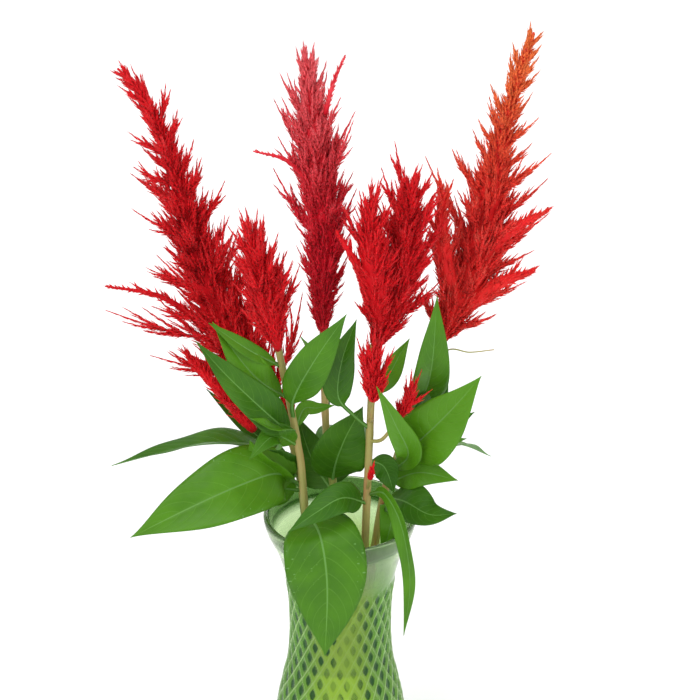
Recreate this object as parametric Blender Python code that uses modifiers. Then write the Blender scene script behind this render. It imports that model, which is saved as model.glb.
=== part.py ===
"""Plume celosia in a pressed-glass vase.

Frame: the origin is the middle of the vase's flat base, +Z is up, and the
front of the arrangement looks along -Y. Lengths named here are in millimetres
and are scaled to metres where a piece is made.
"""
import math
import random

import bmesh
import bpy
import numpy as np
from mathutils import Matrix, Vector

MILLI = 0.001

# Gap between pieces that touch
GAP = 0.3

# Steps between two given places of a smooth curve, and steps that measure its length
CURVE_STEPS = 24
LENGTH_STEPS = 60

# Vase: outer radius by height, read from the top down
VASE_OUTLINE = (
    (230.0, 57.5), (222.0, 56.0), (213.0, 52.5), (203.0, 48.0), (190.0, 44.0),
    (172.0, 40.2), (153.0, 38.4), (126.0, 38.2), (103.0, 40.2), (87.0, 43.8),
    (68.0, 47.6), (45.0, 50.8), (22.0, 51.0), (8.0, 48.5), (0.0, 45.0),
)
VASE_SIDES = 48
WALL = 4.0
FLOOR_THICKNESS = 10.0
LIP_ROUND = 2.0
# Lip: parts of the wall in from the rim, and parts of the rounding down from the top
LIP_SHAPE = ((0.75, 0.25), (0.45, 0.0), (0.12, 0.35), (0.0, 1.5))
BASE_ROUND = 3.0
RELIEF_TOP = 182.0
RELIEF_ROW = 10.0
RELIEF_ROWS = 17
RIDGE_HEIGHT = 1.2
DIMPLE_DEPTH = 0.8
INNER_ROWS = (10.0, 45.0, 75.0, 106.0, 150.0, 186.0, 230.0)
SMOOTH_ROWS = (222.0, 208.0, 195.0)

# Water: a still surface part of the way up the vase
WATER_SURFACE = 110.0
WATER_SIDES = 24
STEM_HOLE_DEPTH = 14.0
STEM_HOLE_GAP = 0.5

# Shoots
STEM_FOOT = 3.3
STEM_TOP = 2.5
STEM_STEP = 32.0
STEM_FEWEST = 6
STEM_BEVEL_RESOLUTION = 1
STALK_POINTS = 5

# Leaves: the blade is thin and even, the edge waves a little
LEAF_THICKNESS = 1.0
LEAF_STATIONS = 6
LEAF_STALK_WIDTH = 3.0
LEAF_TIP_WIDTH = 1.4
LEAF_STALK_PART = 0.10
LEAF_WAVES = 2.5
LEAF_WAVE_SHIFT = 1.3
LEAF_SWELL = 0.75
LEAF_POINT = 1.3
LEAF_WIDE = 50.0
LEAF_NARROW = 22.0
LEAF_FLAT_PART = 0.3

# Plumes: pointed branchlets round a core that they hide
GOLDEN_ANGLE = math.radians(137.508)
BRANCHLET_SIDES = 3
BRANCHLET_GIRTHS = (0.55, 1.0)
BRANCHLET_PROPORTION = 0.125
BRANCHLET_SLIMMEST = 2.6
BRANCHLET_WIDEST = 6.5
WIDEST_AT = 0.45
SPIKE_EVERY = 9
SPIKE_STRETCH = 1.3
AXIS_POINTS = 40
AXIS_START = 0.02
AXIS_PART = 0.96
CROWDING = 0.92
SUNK_PART = 0.7
RISE = 0.6
SPREAD = 1.3
BARE = 8.0
TURN_SHARE = 0.3
LENGTH_SHARE = (0.74, 1.08)
LEAN_SHARE = (0.85, 1.15)
LEAN_LOST = 0.75
HEAD_RISE = 0.5
BEND_ALONG = 0.4
BEND_SHARE = (0.15, 0.32)
CORE_STEP = 24.0
CORE_FEWEST = 4
CORE_BEVEL_RESOLUTION = 1
UP = Vector((0.0, 0.0, 1.0))

# Colours, as linear red, green and blue
GLASS_GREEN = (0.26, 0.45, 0.05, 1.0)
WATER_CLEAR = (0.60, 0.75, 0.55, 1.0)
LEAF_GREEN = (0.10, 0.28, 0.03, 1.0)
PLUME_RED = (0.52, 0.02, 0.03, 1.0)
PLUME_ORANGE = (0.72, 0.10, 0.03, 1.0)
GLASS_ROUGHNESS = 0.08
WATER_ROUGHNESS = 0.02
LEAF_ROUGHNESS = 0.45
PLUME_ROUGHNESS = 0.75


def remove_everything():
    """Empty the scene of objects."""
    for obj in list(bpy.data.objects):
        bpy.data.objects.remove(obj, do_unlink=True)


def new_collection(name):
    """A collection under the scene's own."""
    collection = bpy.data.collections.new(name)
    bpy.context.scene.collection.children.link(collection)
    return collection


def finish(name, colour, roughness):
    """A plain material of one colour."""
    material = bpy.data.materials.new(name)
    material.use_nodes = True
    shader = material.node_tree.nodes["Principled BSDF"]
    shader.inputs["Base Color"].default_value = colour
    shader.inputs["Roughness"].default_value = roughness
    material.diffuse_color = colour
    return material


def new_object(name, data, collection, material=None):
    """An object with its data in a collection."""
    obj = bpy.data.objects.new(name, data)
    collection.objects.link(obj)
    if material is not None:
        data.materials.append(material)
    return obj


def evaluated_mesh(obj):
    """A copy of an object's mesh with its modifiers or bevel applied."""
    graph = bpy.context.evaluated_depsgraph_get()
    return bpy.data.meshes.new_from_object(obj.evaluated_get(graph))


def path_points(points, count):
    """Evenly spaced points on a smooth curve through a few given points."""
    knots = [Vector(point) for point in points]
    knots = [2 * knots[0] - knots[1]] + knots + [2 * knots[-1] - knots[-2]]
    dense = []
    for index in range(1, len(knots) - 2):
        before, start, end, after = knots[index - 1:index + 3]
        for step in range(CURVE_STEPS):
            t = step / CURVE_STEPS
            dense.append(0.5 * (
                2 * start + (end - before) * t
                + (2 * before - 5 * start + 4 * end - after) * t ** 2
                + (3 * start - before - 3 * end + after) * t ** 3
            ))
    dense.append(knots[-2])
    reach = [0.0]
    for first, second in zip(dense, dense[1:]):
        reach.append(reach[-1] + (second - first).length)
    evened = []
    cursor = 0
    for number in range(count):
        wanted = reach[-1] * number / (count - 1)
        while cursor < len(reach) - 2 and reach[cursor + 1] < wanted:
            cursor += 1
        span = reach[cursor + 1] - reach[cursor]
        evened.append(dense[cursor].lerp(dense[cursor + 1], (wanted - reach[cursor]) / span))
    return evened


def path_length(points):
    """Length of the smooth curve through a few given points."""
    fine = path_points(points, LENGTH_STEPS)
    return sum((second - first).length for first, second in zip(fine, fine[1:]))


def tube(name, places, radii, collection, bevel_resolution):
    """A closed round tube through places, one radius at each, as a mesh object."""
    curve = bpy.data.curves.new(name, "CURVE")
    curve.dimensions = "3D"
    curve.bevel_depth = MILLI
    curve.bevel_resolution = bevel_resolution
    curve.use_fill_caps = True
    spline = curve.splines.new("POLY")
    spline.points.add(len(places) - 1)
    for point, place, radius in zip(spline.points, places, radii):
        point.co = (*(place * MILLI), 1.0)
        point.radius = radius
    guide = new_object(name + "_guide", curve, collection)
    mesh = evaluated_mesh(guide)
    bpy.data.objects.remove(guide, do_unlink=True)
    bpy.data.curves.remove(curve)
    weld(mesh)
    return new_object(name, mesh, collection)


def weld(mesh, distance=0.00001):
    """Join the vertices of a mesh that lie on each other."""
    shape = bmesh.new()
    shape.from_mesh(mesh)
    bmesh.ops.remove_doubles(shape, verts=shape.verts, dist=distance)
    bmesh.ops.recalc_face_normals(shape, faces=shape.faces)
    shape.to_mesh(mesh)
    shape.free()


def fuse(base, pieces, solver="EXACT"):
    """Join every object of a collection to the base object, and drop them."""
    union = base.modifiers.new("Union", "BOOLEAN")
    union.operation = "UNION"
    union.operand_type = "COLLECTION"
    union.collection = pieces
    union.solver = solver
    mesh = evaluated_mesh(base)
    base.modifiers.clear()
    base.data = mesh
    for piece in list(pieces.objects):
        bpy.data.objects.remove(piece, do_unlink=True)
    bpy.data.collections.remove(pieces)
    tidy_mesh(mesh)


def islands_of(shape):
    """Groups of faces of a mesh that hang together."""
    unseen = set(shape.faces)
    islands = []
    while unseen:
        first = unseen.pop()
        island = [first]
        for face in island:
            for edge in face.edges:
                for other in edge.link_faces:
                    if other in unseen:
                        unseen.remove(other)
                        island.append(other)
        islands.append(island)
    return islands


def tidy_mesh(mesh):
    """Fill the sealed hollows that a union leaves, and drop loose scraps."""
    shape = bmesh.new()
    shape.from_mesh(mesh)
    islands = sorted(islands_of(shape), key=len)
    for island in islands[:-1]:
        bmesh.ops.delete(shape, geom=island, context="FACES")
    loose = [vert for vert in shape.verts if not vert.link_faces]
    bmesh.ops.delete(shape, geom=loose, context="VERTS")
    shape.to_mesh(mesh)
    shape.free()


def outline_radius(height):
    """Outer radius of the vase at a height, eased between the outline's points."""
    rows = VASE_OUTLINE
    if height >= rows[0][0]:
        return rows[0][1]
    for index in range(len(rows) - 1):
        top, top_radius = rows[index]
        bottom, bottom_radius = rows[index + 1]
        if height >= bottom:
            above = rows[max(index - 1, 0)]
            below = rows[min(index + 2, len(rows) - 1)]
            span = top - bottom
            t = (top - height) / span
            slope_top = (bottom_radius - above[1]) / (above[0] - bottom) * span if index else 0.0
            slope_bottom = (below[1] - top_radius) / (top - below[0]) * span
            return (
                (2 * t ** 3 - 3 * t ** 2 + 1) * top_radius
                + (t ** 3 - 2 * t ** 2 + t) * slope_top
                + (3 * t ** 2 - 2 * t ** 3) * bottom_radius
                + (t ** 3 - t ** 2) * slope_bottom
            )
    return rows[-1][1]


def turned(name, profile, collection, material, sides):
    """A closed solid turned round the Z axis from a profile of radii and heights."""
    shape = bmesh.new()
    verts = [shape.verts.new((radius * MILLI, 0.0, height * MILLI)) for radius, height in profile]
    for first, second in zip(verts, verts[1:]):
        shape.edges.new((first, second))
    mesh = bpy.data.meshes.new(name + "_profile")
    shape.to_mesh(mesh)
    shape.free()
    guide = new_object(name + "_guide", mesh, collection)
    screw = guide.modifiers.new("Screw", "SCREW")
    screw.axis = "Z"
    screw.steps = sides
    screw.render_steps = sides
    screw.use_merge_vertices = True
    screw.merge_threshold = 0.00005
    solid = evaluated_mesh(guide)
    bpy.data.objects.remove(guide, do_unlink=True)
    weld(solid)
    return new_object(name, solid, collection, material)


def make_vase(collection, material):
    """The pressed-glass vase, with a diamond net raised on its waist and foot."""
    top = VASE_OUTLINE[0][0]
    lip = top + LIP_ROUND
    profile = [(0.0, FLOOR_THICKNESS)]
    for height in INNER_ROWS:
        profile.append((outline_radius(height) - WALL, height))
    rim = outline_radius(top)
    for inward, lowered in LIP_SHAPE:
        profile.append((rim - WALL * inward, lip - LIP_ROUND * lowered))
    for height in SMOOTH_ROWS:
        profile.append((outline_radius(height), height))
    for row in range(RELIEF_ROWS + 1):
        height = RELIEF_TOP - RELIEF_ROW * row
        profile.append((outline_radius(height), height))
    profile.append((VASE_OUTLINE[-1][1] + BASE_ROUND / 2, BASE_ROUND))
    profile.append((VASE_OUTLINE[-1][1], 0.0))
    profile.append((0.0, 0.0))
    vase = turned("vase", profile, collection, material, VASE_SIDES)
    raise_net(vase.data)
    vase.data.shade_smooth()
    vase.data.set_sharp_from_angle(angle=math.radians(40.0))
    return vase


def net_place(vert):
    """Column and row of a vase vertex on the net, or None where there is no net."""
    height = vert.co.z / MILLI
    radius = vert.co.xy.length / MILLI
    row = round((RELIEF_TOP - height) / RELIEF_ROW)
    if not 0 <= row <= RELIEF_ROWS or abs(RELIEF_TOP - RELIEF_ROW * row - height) > 0.5:
        return None
    if radius < outline_radius(height) - WALL / 2:
        return None
    turn = math.atan2(vert.co.y, vert.co.x) / math.tau
    return round(turn * VASE_SIDES) % VASE_SIDES, row


def raise_net(mesh):
    """Lift every second crossing of the outer wall and press in the others."""
    shape = bmesh.new()
    shape.from_mesh(mesh)
    places = {vert: net_place(vert) for vert in shape.verts}
    for face in list(shape.faces):
        corners = [places[vert] for vert in face.verts]
        if len(corners) != 4 or None in corners:
            continue
        lifted = [vert for vert in face.verts if sum(places[vert]) % 2 == 0]
        if len(lifted) == 2:
            bmesh.utils.face_split(face, lifted[0], lifted[1])
    for vert, place in places.items():
        if place is None or place[1] in (0, RELIEF_ROWS):
            continue
        outward = Vector((vert.co.x, vert.co.y, 0.0)).normalized()
        lift = RIDGE_HEIGHT if sum(place) % 2 == 0 else -DIMPLE_DEPTH
        vert.co += outward * lift * MILLI
    shape.to_mesh(mesh)
    shape.free()


def make_water(collection, material, stems):
    """Still water that fills the lower part of the vase, with a hole for each stem."""
    bottom = FLOOR_THICKNESS + GAP
    profile = [(0.0, WATER_SURFACE)]
    heights = [WATER_SURFACE]
    heights += [height for height in reversed(INNER_ROWS) if bottom < height < WATER_SURFACE]
    heights.append(bottom)
    for height in heights:
        profile.append((inner_radius(height) - GAP, height))
    profile.append((0.0, bottom))
    water = turned("water", profile, collection, material, WATER_SIDES)
    cutters = new_collection("Cutters")
    for number, stem in enumerate(stems):
        places, radii = stem
        low = places[0] + (places[0] - places[1]).normalized() * STEM_HOLE_DEPTH
        hole_radii = [radius + STEM_HOLE_GAP for radius in (radii[0], *radii)]
        cutter = tube(f"stem_hole_{number}", [low, *places], hole_radii, cutters, STEM_BEVEL_RESOLUTION)
        cutter.display_type = "WIRE"
        cutter.hide_render = True
    cut = water.modifiers.new("Stem holes", "BOOLEAN")
    cut.operation = "DIFFERENCE"
    cut.operand_type = "COLLECTION"
    cut.collection = cutters
    cut.solver = "EXACT"
    mesh = evaluated_mesh(water)
    water.modifiers.clear()
    water.data = mesh
    for cutter in list(cutters.objects):
        bpy.data.objects.remove(cutter, do_unlink=True)
    bpy.data.collections.remove(cutters)
    tidy_mesh(mesh)
    return water


def inner_radius(height):
    """Radius of the faceted inner wall at a height."""
    for low, high in zip(INNER_ROWS, INNER_ROWS[1:]):
        if low <= height <= high:
            t = (height - low) / (high - low)
            return (1 - t) * outline_radius(low) + t * outline_radius(high) - WALL
    return outline_radius(height) - WALL


def stem_run(points):
    """Places and radii along a stem, from its foot to its top."""
    count = max(STEM_FEWEST, round(path_length(points) / STEM_STEP) + 1)
    places = path_points(points, count)
    radii = []
    for number in range(count):
        t = number / (count - 1)
        radii.append(STEM_FOOT + (STEM_TOP - STEM_FOOT) * t)
    return places, radii


def half_width(t, width, petiole):
    """Half the width of a leaf at a part of its length, pointed at the tip."""
    if t < petiole:
        return LEAF_STALK_WIDTH / 2
    s = (t - petiole) / (1.0 - petiole)
    swell = s ** LEAF_SWELL * (1.0 - s) ** LEAF_POINT
    peak_at = LEAF_SWELL / (LEAF_SWELL + LEAF_POINT)
    peak = peak_at ** LEAF_SWELL * (1.0 - peak_at) ** LEAF_POINT
    thin = LEAF_STALK_WIDTH * (1.0 - s) + LEAF_TIP_WIDTH * s
    return (thin + (width - thin) * swell / peak) / 2


def leaf(collection, points, width, facing, fold, wave, twist=0.0, petiole=LEAF_STALK_PART):
    """A lance-shaped leaf along a spine, from inside its stem to its pointed tip.

    The blade faces the given way, folds up along its midrib, waves along its
    edges, and turns by twist degrees from its base to its tip. The petiole is
    the part of its length that is a bare stalk.
    """
    columns = 4 if width > LEAF_WIDE else 2
    stations = LEAF_STATIONS if width > LEAF_NARROW else LEAF_STATIONS - 1
    spine = path_points(points, 4 * stations + 1)
    shape = bmesh.new()
    bmesh.ops.create_grid(shape, x_segments=columns, y_segments=stations, size=1.0)
    bmesh.ops.triangulate(shape, faces=shape.faces)
    for vert in shape.verts:
        t = (vert.co.y + 1.0) / 2
        side = vert.co.x
        half = half_width(t, width, petiole)
        vert.co = leaf_point(spine, t, side, half, facing, fold, wave, twist) * MILLI
    mesh = bpy.data.meshes.new("leaf")
    shape.to_mesh(mesh)
    shape.free()
    blade = new_object("leaf", mesh, collection)
    solidify = blade.modifiers.new("Thickness", "SOLIDIFY")
    solidify.thickness = LEAF_THICKNESS * MILLI
    solidify.offset = 0.0
    solidify.use_even_offset = False
    solid = evaluated_mesh(blade)
    blade.modifiers.clear()
    blade.data = solid
    weld(solid, 0.000001)
    return blade


def leaf_point(spine, t, side, half, facing, fold, wave, twist):
    """A point of a leaf: t from base to tip, side from -1 to 1 across the blade."""
    place = t * (len(spine) - 1)
    index = min(int(place), len(spine) - 2)
    centre = spine[index].lerp(spine[index + 1], place - index)
    first = spine[max(index - 1, 0)]
    last = spine[min(index + 2, len(spine) - 1)]
    along = (last - first).normalized()
    across = along.cross(Vector(facing)).normalized()
    upward = across.cross(along).normalized()
    turn = Matrix.Rotation(math.radians(twist) * t, 3, along)
    across = turn @ across
    upward = turn @ upward
    opened = min(1.0, t / LEAF_FLAT_PART)
    shift = LEAF_WAVE_SHIFT if side > 0 else 0.0
    rise = abs(side) * half * fold
    ripple = wave * half * abs(side) * math.sin(math.tau * LEAF_WAVES * t + shift)
    flat = side * half * math.cos(fold * opened)
    return centre + across * flat + upward * (rise + ripple) * opened


def stalk(collection, points, start, end):
    """A thin tapered stalk."""
    places = path_points(points, STALK_POINTS)
    radii = list(np.linspace(start, end, STALK_POINTS))
    return tube("stalk", places, radii, collection, STEM_BEVEL_RESOLUTION)


def make_shoot(name, collection, material, stem, leaves, stalks):
    """One stem with its leaves and stalks, fused in one body."""
    places, radii = stem
    body = tube(name, places, radii, collection, STEM_BEVEL_RESOLUTION)
    body.data.materials.append(material)
    pieces = new_collection(name + "_pieces")
    for settings in leaves:
        leaf(pieces, **settings)
    for settings in stalks:
        stalk(pieces, **settings)
    fuse(body, pieces)
    return body


def table_value(table, t):
    """A number read off an even table at a part of its length."""
    return float(np.interp(t * (len(table) - 1), range(len(table)), table))


def branchlet_rule(axis, core, reach, number, count, seed, rise, spread):
    """Where a branchlet starts, where it is widest, and its tip.

    Branchlets follow each other by the golden angle up the axis. Each leaves
    the core outward and along it, then bends up towards the light. Every few
    branchlets one runs on as a longer spike.
    """
    draw = random.Random(seed * 1000 + number)
    t = AXIS_START + AXIS_PART * ((number + 0.5) / count) ** CROWDING
    place = t * (len(axis) - 1)
    index = min(int(place), len(axis) - 2)
    root = axis[index].lerp(axis[index + 1], place - index)
    along = (axis[index + 1] - axis[index]).normalized()
    sideways = along.cross(Vector((0.0, 1.0, 0.0))).normalized()
    turn = Matrix.Rotation(number * GOLDEN_ANGLE + draw.uniform(-TURN_SHARE, TURN_SHARE), 3, along)
    outward = turn @ sideways
    length = table_value(reach, t) * draw.uniform(*LENGTH_SHARE)
    if number % SPIKE_EVERY == SPIKE_EVERY // 2:
        length *= SPIKE_STRETCH
    lean = spread * (1.0 - LEAN_LOST * t ** 3) * draw.uniform(*LEAN_SHARE)
    heading = (along + outward * lean + UP * rise * HEAD_RISE).normalized()
    bend = (along * BEND_ALONG + UP * rise).normalized() * draw.uniform(*BEND_SHARE)
    sunk = table_value(core, t) * SUNK_PART
    root = root + heading * sunk
    points = [root]
    for part in (WIDEST_AT, 1.0):
        points.append(root + (heading * part + bend * part ** 2) * (length - sunk))
    return points


def branchlet(collection, points, width):
    """A bent three-sided spindle that ends in a point."""
    shape = bmesh.new()
    bmesh.ops.create_cone(
        shape, cap_ends=True, segments=BRANCHLET_SIDES, radius1=1.0, radius2=0.0, depth=1.0,
    )
    sides = [edge for edge in shape.edges if edge.verts[0].co.z * edge.verts[1].co.z < 0.0]
    bmesh.ops.subdivide_edges(shape, edges=sides, cuts=1, use_grid_fill=False)
    rows = {}
    for vert in shape.verts:
        level = round((vert.co.z + 0.5) * 2)
        rows.setdefault(level, []).append(vert)
    for level, verts in rows.items():
        if level == 2:
            verts[0].co = points[2] * MILLI
            continue
        nearer = points[max(level - 1, 0)]
        further = points[level + 1]
        along = (further - nearer).normalized()
        facing = along.to_track_quat("Z", "Y").to_matrix()
        for vert in verts:
            angle = math.atan2(vert.co.y, vert.co.x)
            ring = Vector((math.cos(angle), math.sin(angle), 0.0)) * width * 0.5 * BRANCHLET_GIRTHS[level]
            vert.co = (points[level] + facing @ ring) * MILLI
    bmesh.ops.triangulate(shape, faces=shape.faces)
    bmesh.ops.recalc_face_normals(shape, faces=shape.faces)
    mesh = bpy.data.meshes.new("branchlet")
    shape.to_mesh(mesh)
    shape.free()
    return new_object("branchlet", mesh, collection)


def lobe_core(name, lobe, collection):
    """The core of a lobe, a tube that swells and thins as its table says."""
    steps = max(CORE_FEWEST, round(path_length(lobe["points"]) / CORE_STEP) + 1)
    places = path_points(lobe["points"], steps)
    radii = [table_value(lobe["core"], number / (steps - 1)) for number in range(steps)]
    return tube(name, places, radii, collection, CORE_BEVEL_RESOLUTION)


def lobe_branchlets(lobe, collection):
    """The branchlets of a lobe, set all round its core."""
    axis = path_points(lobe["points"], AXIS_POINTS)
    reach = lobe["reach"]
    width = min(max(max(reach) * BRANCHLET_PROPORTION, BRANCHLET_SLIMMEST), BRANCHLET_WIDEST)
    for number in range(lobe["count"]):
        run = branchlet_rule(
            axis, lobe["core"], reach, number, lobe["count"], lobe["seed"],
            lobe.get("rise", RISE), lobe.get("spread", SPREAD),
        )
        if (run[0] - axis[0]).length >= lobe.get("bare", BARE):
            branchlet(collection, run, width)


def make_plume(name, collection, material, lobes):
    """A plume: its main core, with the cores of its side lobes and all branchlets joined to it."""
    body = lobe_core(name, lobes[0], collection)
    body.data.materials.append(material)
    pieces = new_collection(name + "_pieces")
    for lobe in lobes[1:]:
        lobe_core("side_lobe", lobe, pieces)
    for lobe in lobes:
        lobe_branchlets(lobe, pieces)
    fuse(body, pieces)
    return body


# Stems: hand-set places from foot to top
STEM_PATHS = {
    "left": ((-14, 15, 11.5), (-20, 17, 130), (-30, 18, 249), (-37.6, 20, 284)),
    "inner_left": (
        (-16, -13, 11.5), (-21, -14, 130), (-27, -18, 264), (-31, -20, 304), (-42.7, -30.6, 381),
    ),
    "centre": ((-3, 20, 11.5), (-4, 16, 130), (-5, 14, 243), (-10, 14, 290), (-12, 15, 371)),
    "inner_right": ((10, -16, 11.5), (16, -17, 130), (20, -18, 253), (22, -18, 310), (24, -18, 374.8)),
    "right": (
        (17, 8, 11.5), (20, 8, 130), (31, 10, 230), (43, 14, 273), (56, 18, 317), (72.6, 22, 359),
    ),
}

# Stalks of the small side plumes, and a loose tendril
STALKS = {
    "inner_right": (
        dict(points=((22, -18, 318), (23, -34, 330), (24, -48, 350)), start=1.5, end=1.1),
        dict(points=((21, -18, 302), (31, -26, 308), (42, -36, 330)), start=1.5, end=1.1),
        dict(points=((20, -18, 262), (21, -23, 268), (22, -27, 275)), start=1.5, end=1.1),
    ),
    "right": (
        dict(points=((59, -14, 348), (76, -18, 375), (93, -20, 375), (110, -22, 378)), start=0.7, end=0.4),
    ),
}

# Leaves of each shoot: spine from the stem to the tip, width, and the way the blade faces
LEAVES = {
    "left": (
        dict(points=((-29, 18, 244), (-46, -6, 268), (-72, -26, 270), (-112, -38, 256), (-153, -44, 236)),
             width=54, facing=(-0.2, -0.75, 0.6), fold=0.2, wave=0.08),
        dict(points=((-33, 19, 262), (-60, 14, 280), (-105, 10, 284), (-170, 5, 269)),
             width=30, facing=(0.0, 0.1, 1.0), fold=0.35, wave=0.1),
        dict(points=((-34, 19, 266), (-64, 27, 284), (-100, 38, 316)),
             width=12, facing=(0.0, -0.6, 0.8), fold=0.2, wave=0.0),
        dict(points=((-31, 18, 252), (-47, 8, 266), (-66, 2, 286)),
             width=36, facing=(-0.2, -0.9, 0.3), fold=0.25, wave=0.08),
        dict(points=((-28, 18, 240), (-46, 6, 251), (-58, -4, 273), (-66, -8, 297)),
             width=38, facing=(-0.2, -0.9, 0.3), fold=0.25, wave=0.08),
    ),
    "inner_left": (
        dict(points=((-41, -29, 368), (-64, -42, 388), (-90, -54, 414)),
             width=12, facing=(0.3, -0.8, 0.5), fold=0.2, wave=0.0),
        dict(points=((-36, -25, 340), (-60, -40, 366), (-88, -48, 412)),
             width=26, facing=(0.3, -0.8, 0.5), fold=0.3, wave=0.08),
        dict(points=((-31, -20, 304), (-52, -46, 340), (-78, -58, 375), (-99, -62, 404)),
             width=28, facing=(0.3, -0.8, 0.5), fold=0.3, wave=0.1),
        dict(points=((-32, -21, 312), (-46, -50, 330), (-62, -66, 346)),
             width=17, facing=(-0.2, -0.5, 0.8), fold=0.3, wave=0.05),
        dict(points=((-31, -20, 300), (-47, -44, 320), (-64, -60, 310)),
             width=20, facing=(-0.3, -0.8, 0.5), fold=0.2, wave=0.06),
        dict(points=((-33, -22, 320), (-33, -34, 344), (-18, -48, 381), (5, -57, 422)),
             width=29, facing=(0.1, -0.9, 0.35), fold=0.2, wave=0.08, petiole=0.2),
        dict(points=((-32, -21, 313), (-26, -14, 326), (-16, -8, 324), (-4, -4, 324)),
             width=11, facing=(0.0, -0.8, 0.5), fold=0.2, wave=0.05),
        dict(points=((-26, -17, 237), (-20, -38, 247), (-13, -60, 242), (-9, -69, 208), (-11, -67, 148)),
             width=60, facing=(0.0, -0.6, 0.8), fold=0.15, wave=0.07),
    ),
    "centre": (
        dict(points=((-5, 14, 240), (-21, 36, 256), (-32, 45, 289)),
             width=34, facing=(0.0, -0.9, 0.3), fold=0.25, wave=0.08),
        dict(points=((-6, 14, 248), (-3, 4, 272), (5, 0, 297), (17, -2, 322)),
             width=42, facing=(0.1, -0.9, 0.3), fold=0.25, wave=0.08),
        dict(points=((-9, 14, 300), (-14, 34, 330), (-30, 60, 350)),
             width=26, facing=(0.0, 0.5, 0.8), fold=0.3, wave=0.08),
        dict(points=((-5, 14, 236), (0, 40, 262), (8, 78, 262), (10, 104, 236)),
             width=44, facing=(0.0, 0.4, 0.9), fold=0.2, wave=0.08),
    ),
    "inner_right": (
        dict(points=((20, -18, 250), (2, -47, 271), (-17, -63, 268), (-37, -72, 257)),
             width=24, facing=(0.15, -0.8, 0.6), fold=0.2, wave=0.03),
        dict(points=((22, -18, 312), (9, -25, 328), (-1, -31, 346), (2, -38, 378), (12, -42, 411)),
             width=23, facing=(-0.1, -0.9, 0.35), fold=0.25, wave=0.08, petiole=0.3),
        dict(points=((23, -18, 338), (35, -21, 357), (43, -18, 372), (50, -14, 383)),
             width=16, facing=(0.3, -0.7, 0.6), fold=0.3, wave=0.06),
        dict(points=((21, -17, 257), (33, -42, 271), (45, -63, 255), (51, -69, 213), (47, -67, 166)),
             width=15, facing=(-0.8, -0.45, 0.0), fold=0.3, wave=0.1, twist=-40),
        dict(points=((21, -17, 286), (33, -9, 275), (40, -9, 254)),
             width=20, facing=(0.1, -0.9, 0.3), fold=0.25, wave=0.08),
    ),
    "right": (
        dict(points=((38, 13, 259), (50, -17, 290), (40, -44, 329), (26, -62, 369)),
             width=21, facing=(0.0, -0.85, 0.5), fold=0.3, wave=0.08),
        dict(points=((54, 17, 310), (62, -8, 338), (66, -28, 372), (68, -40, 428)),
             width=28, facing=(0.1, -0.9, 0.35), fold=0.3, wave=0.08),
        dict(points=((42, 14, 270), (58, -14, 300), (80, -34, 336), (100, -44, 368)),
             width=46, facing=(0.1, -0.85, 0.5), fold=0.25, wave=0.1),
        dict(points=((48, 15, 290), (64, 0, 318), (78, -12, 362)),
             width=24, facing=(0.2, -0.9, 0.35), fold=0.3, wave=0.08),
        dict(points=((38, 13, 258), (67, 8, 284), (94, 10, 289)),
             width=20, facing=(0.0, -0.9, 0.3), fold=0.25, wave=0.08),
        dict(points=((46, 15, 284), (79, 18, 294), (100, 20, 306)),
             width=18, facing=(0.1, -0.9, 0.3), fold=0.25, wave=0.08),
        dict(points=((36, 12, 250), (59, -4, 268), (87, -14, 267)),
             width=24, facing=(0.0, -0.8, 0.5), fold=0.25, wave=0.08),
        dict(points=((33, 11, 239), (48, -14, 249), (66, -33, 249), (85, -42, 255)),
             width=33, facing=(0.1, -0.7, 0.7), fold=0.2, wave=0.08),
        dict(points=((31, 10, 232), (38, -4, 240), (37, -18, 228), (31, -22, 208)),
             width=19, facing=(0.1, -0.6, 0.8), fold=0.25, wave=0.06),
        dict(points=((33, 11, 242), (60, 26, 264), (88, 44, 266), (116, 58, 248)),
             width=36, facing=(0.1, 0.3, 0.9), fold=0.25, wave=0.08),
    ),
}

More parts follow.
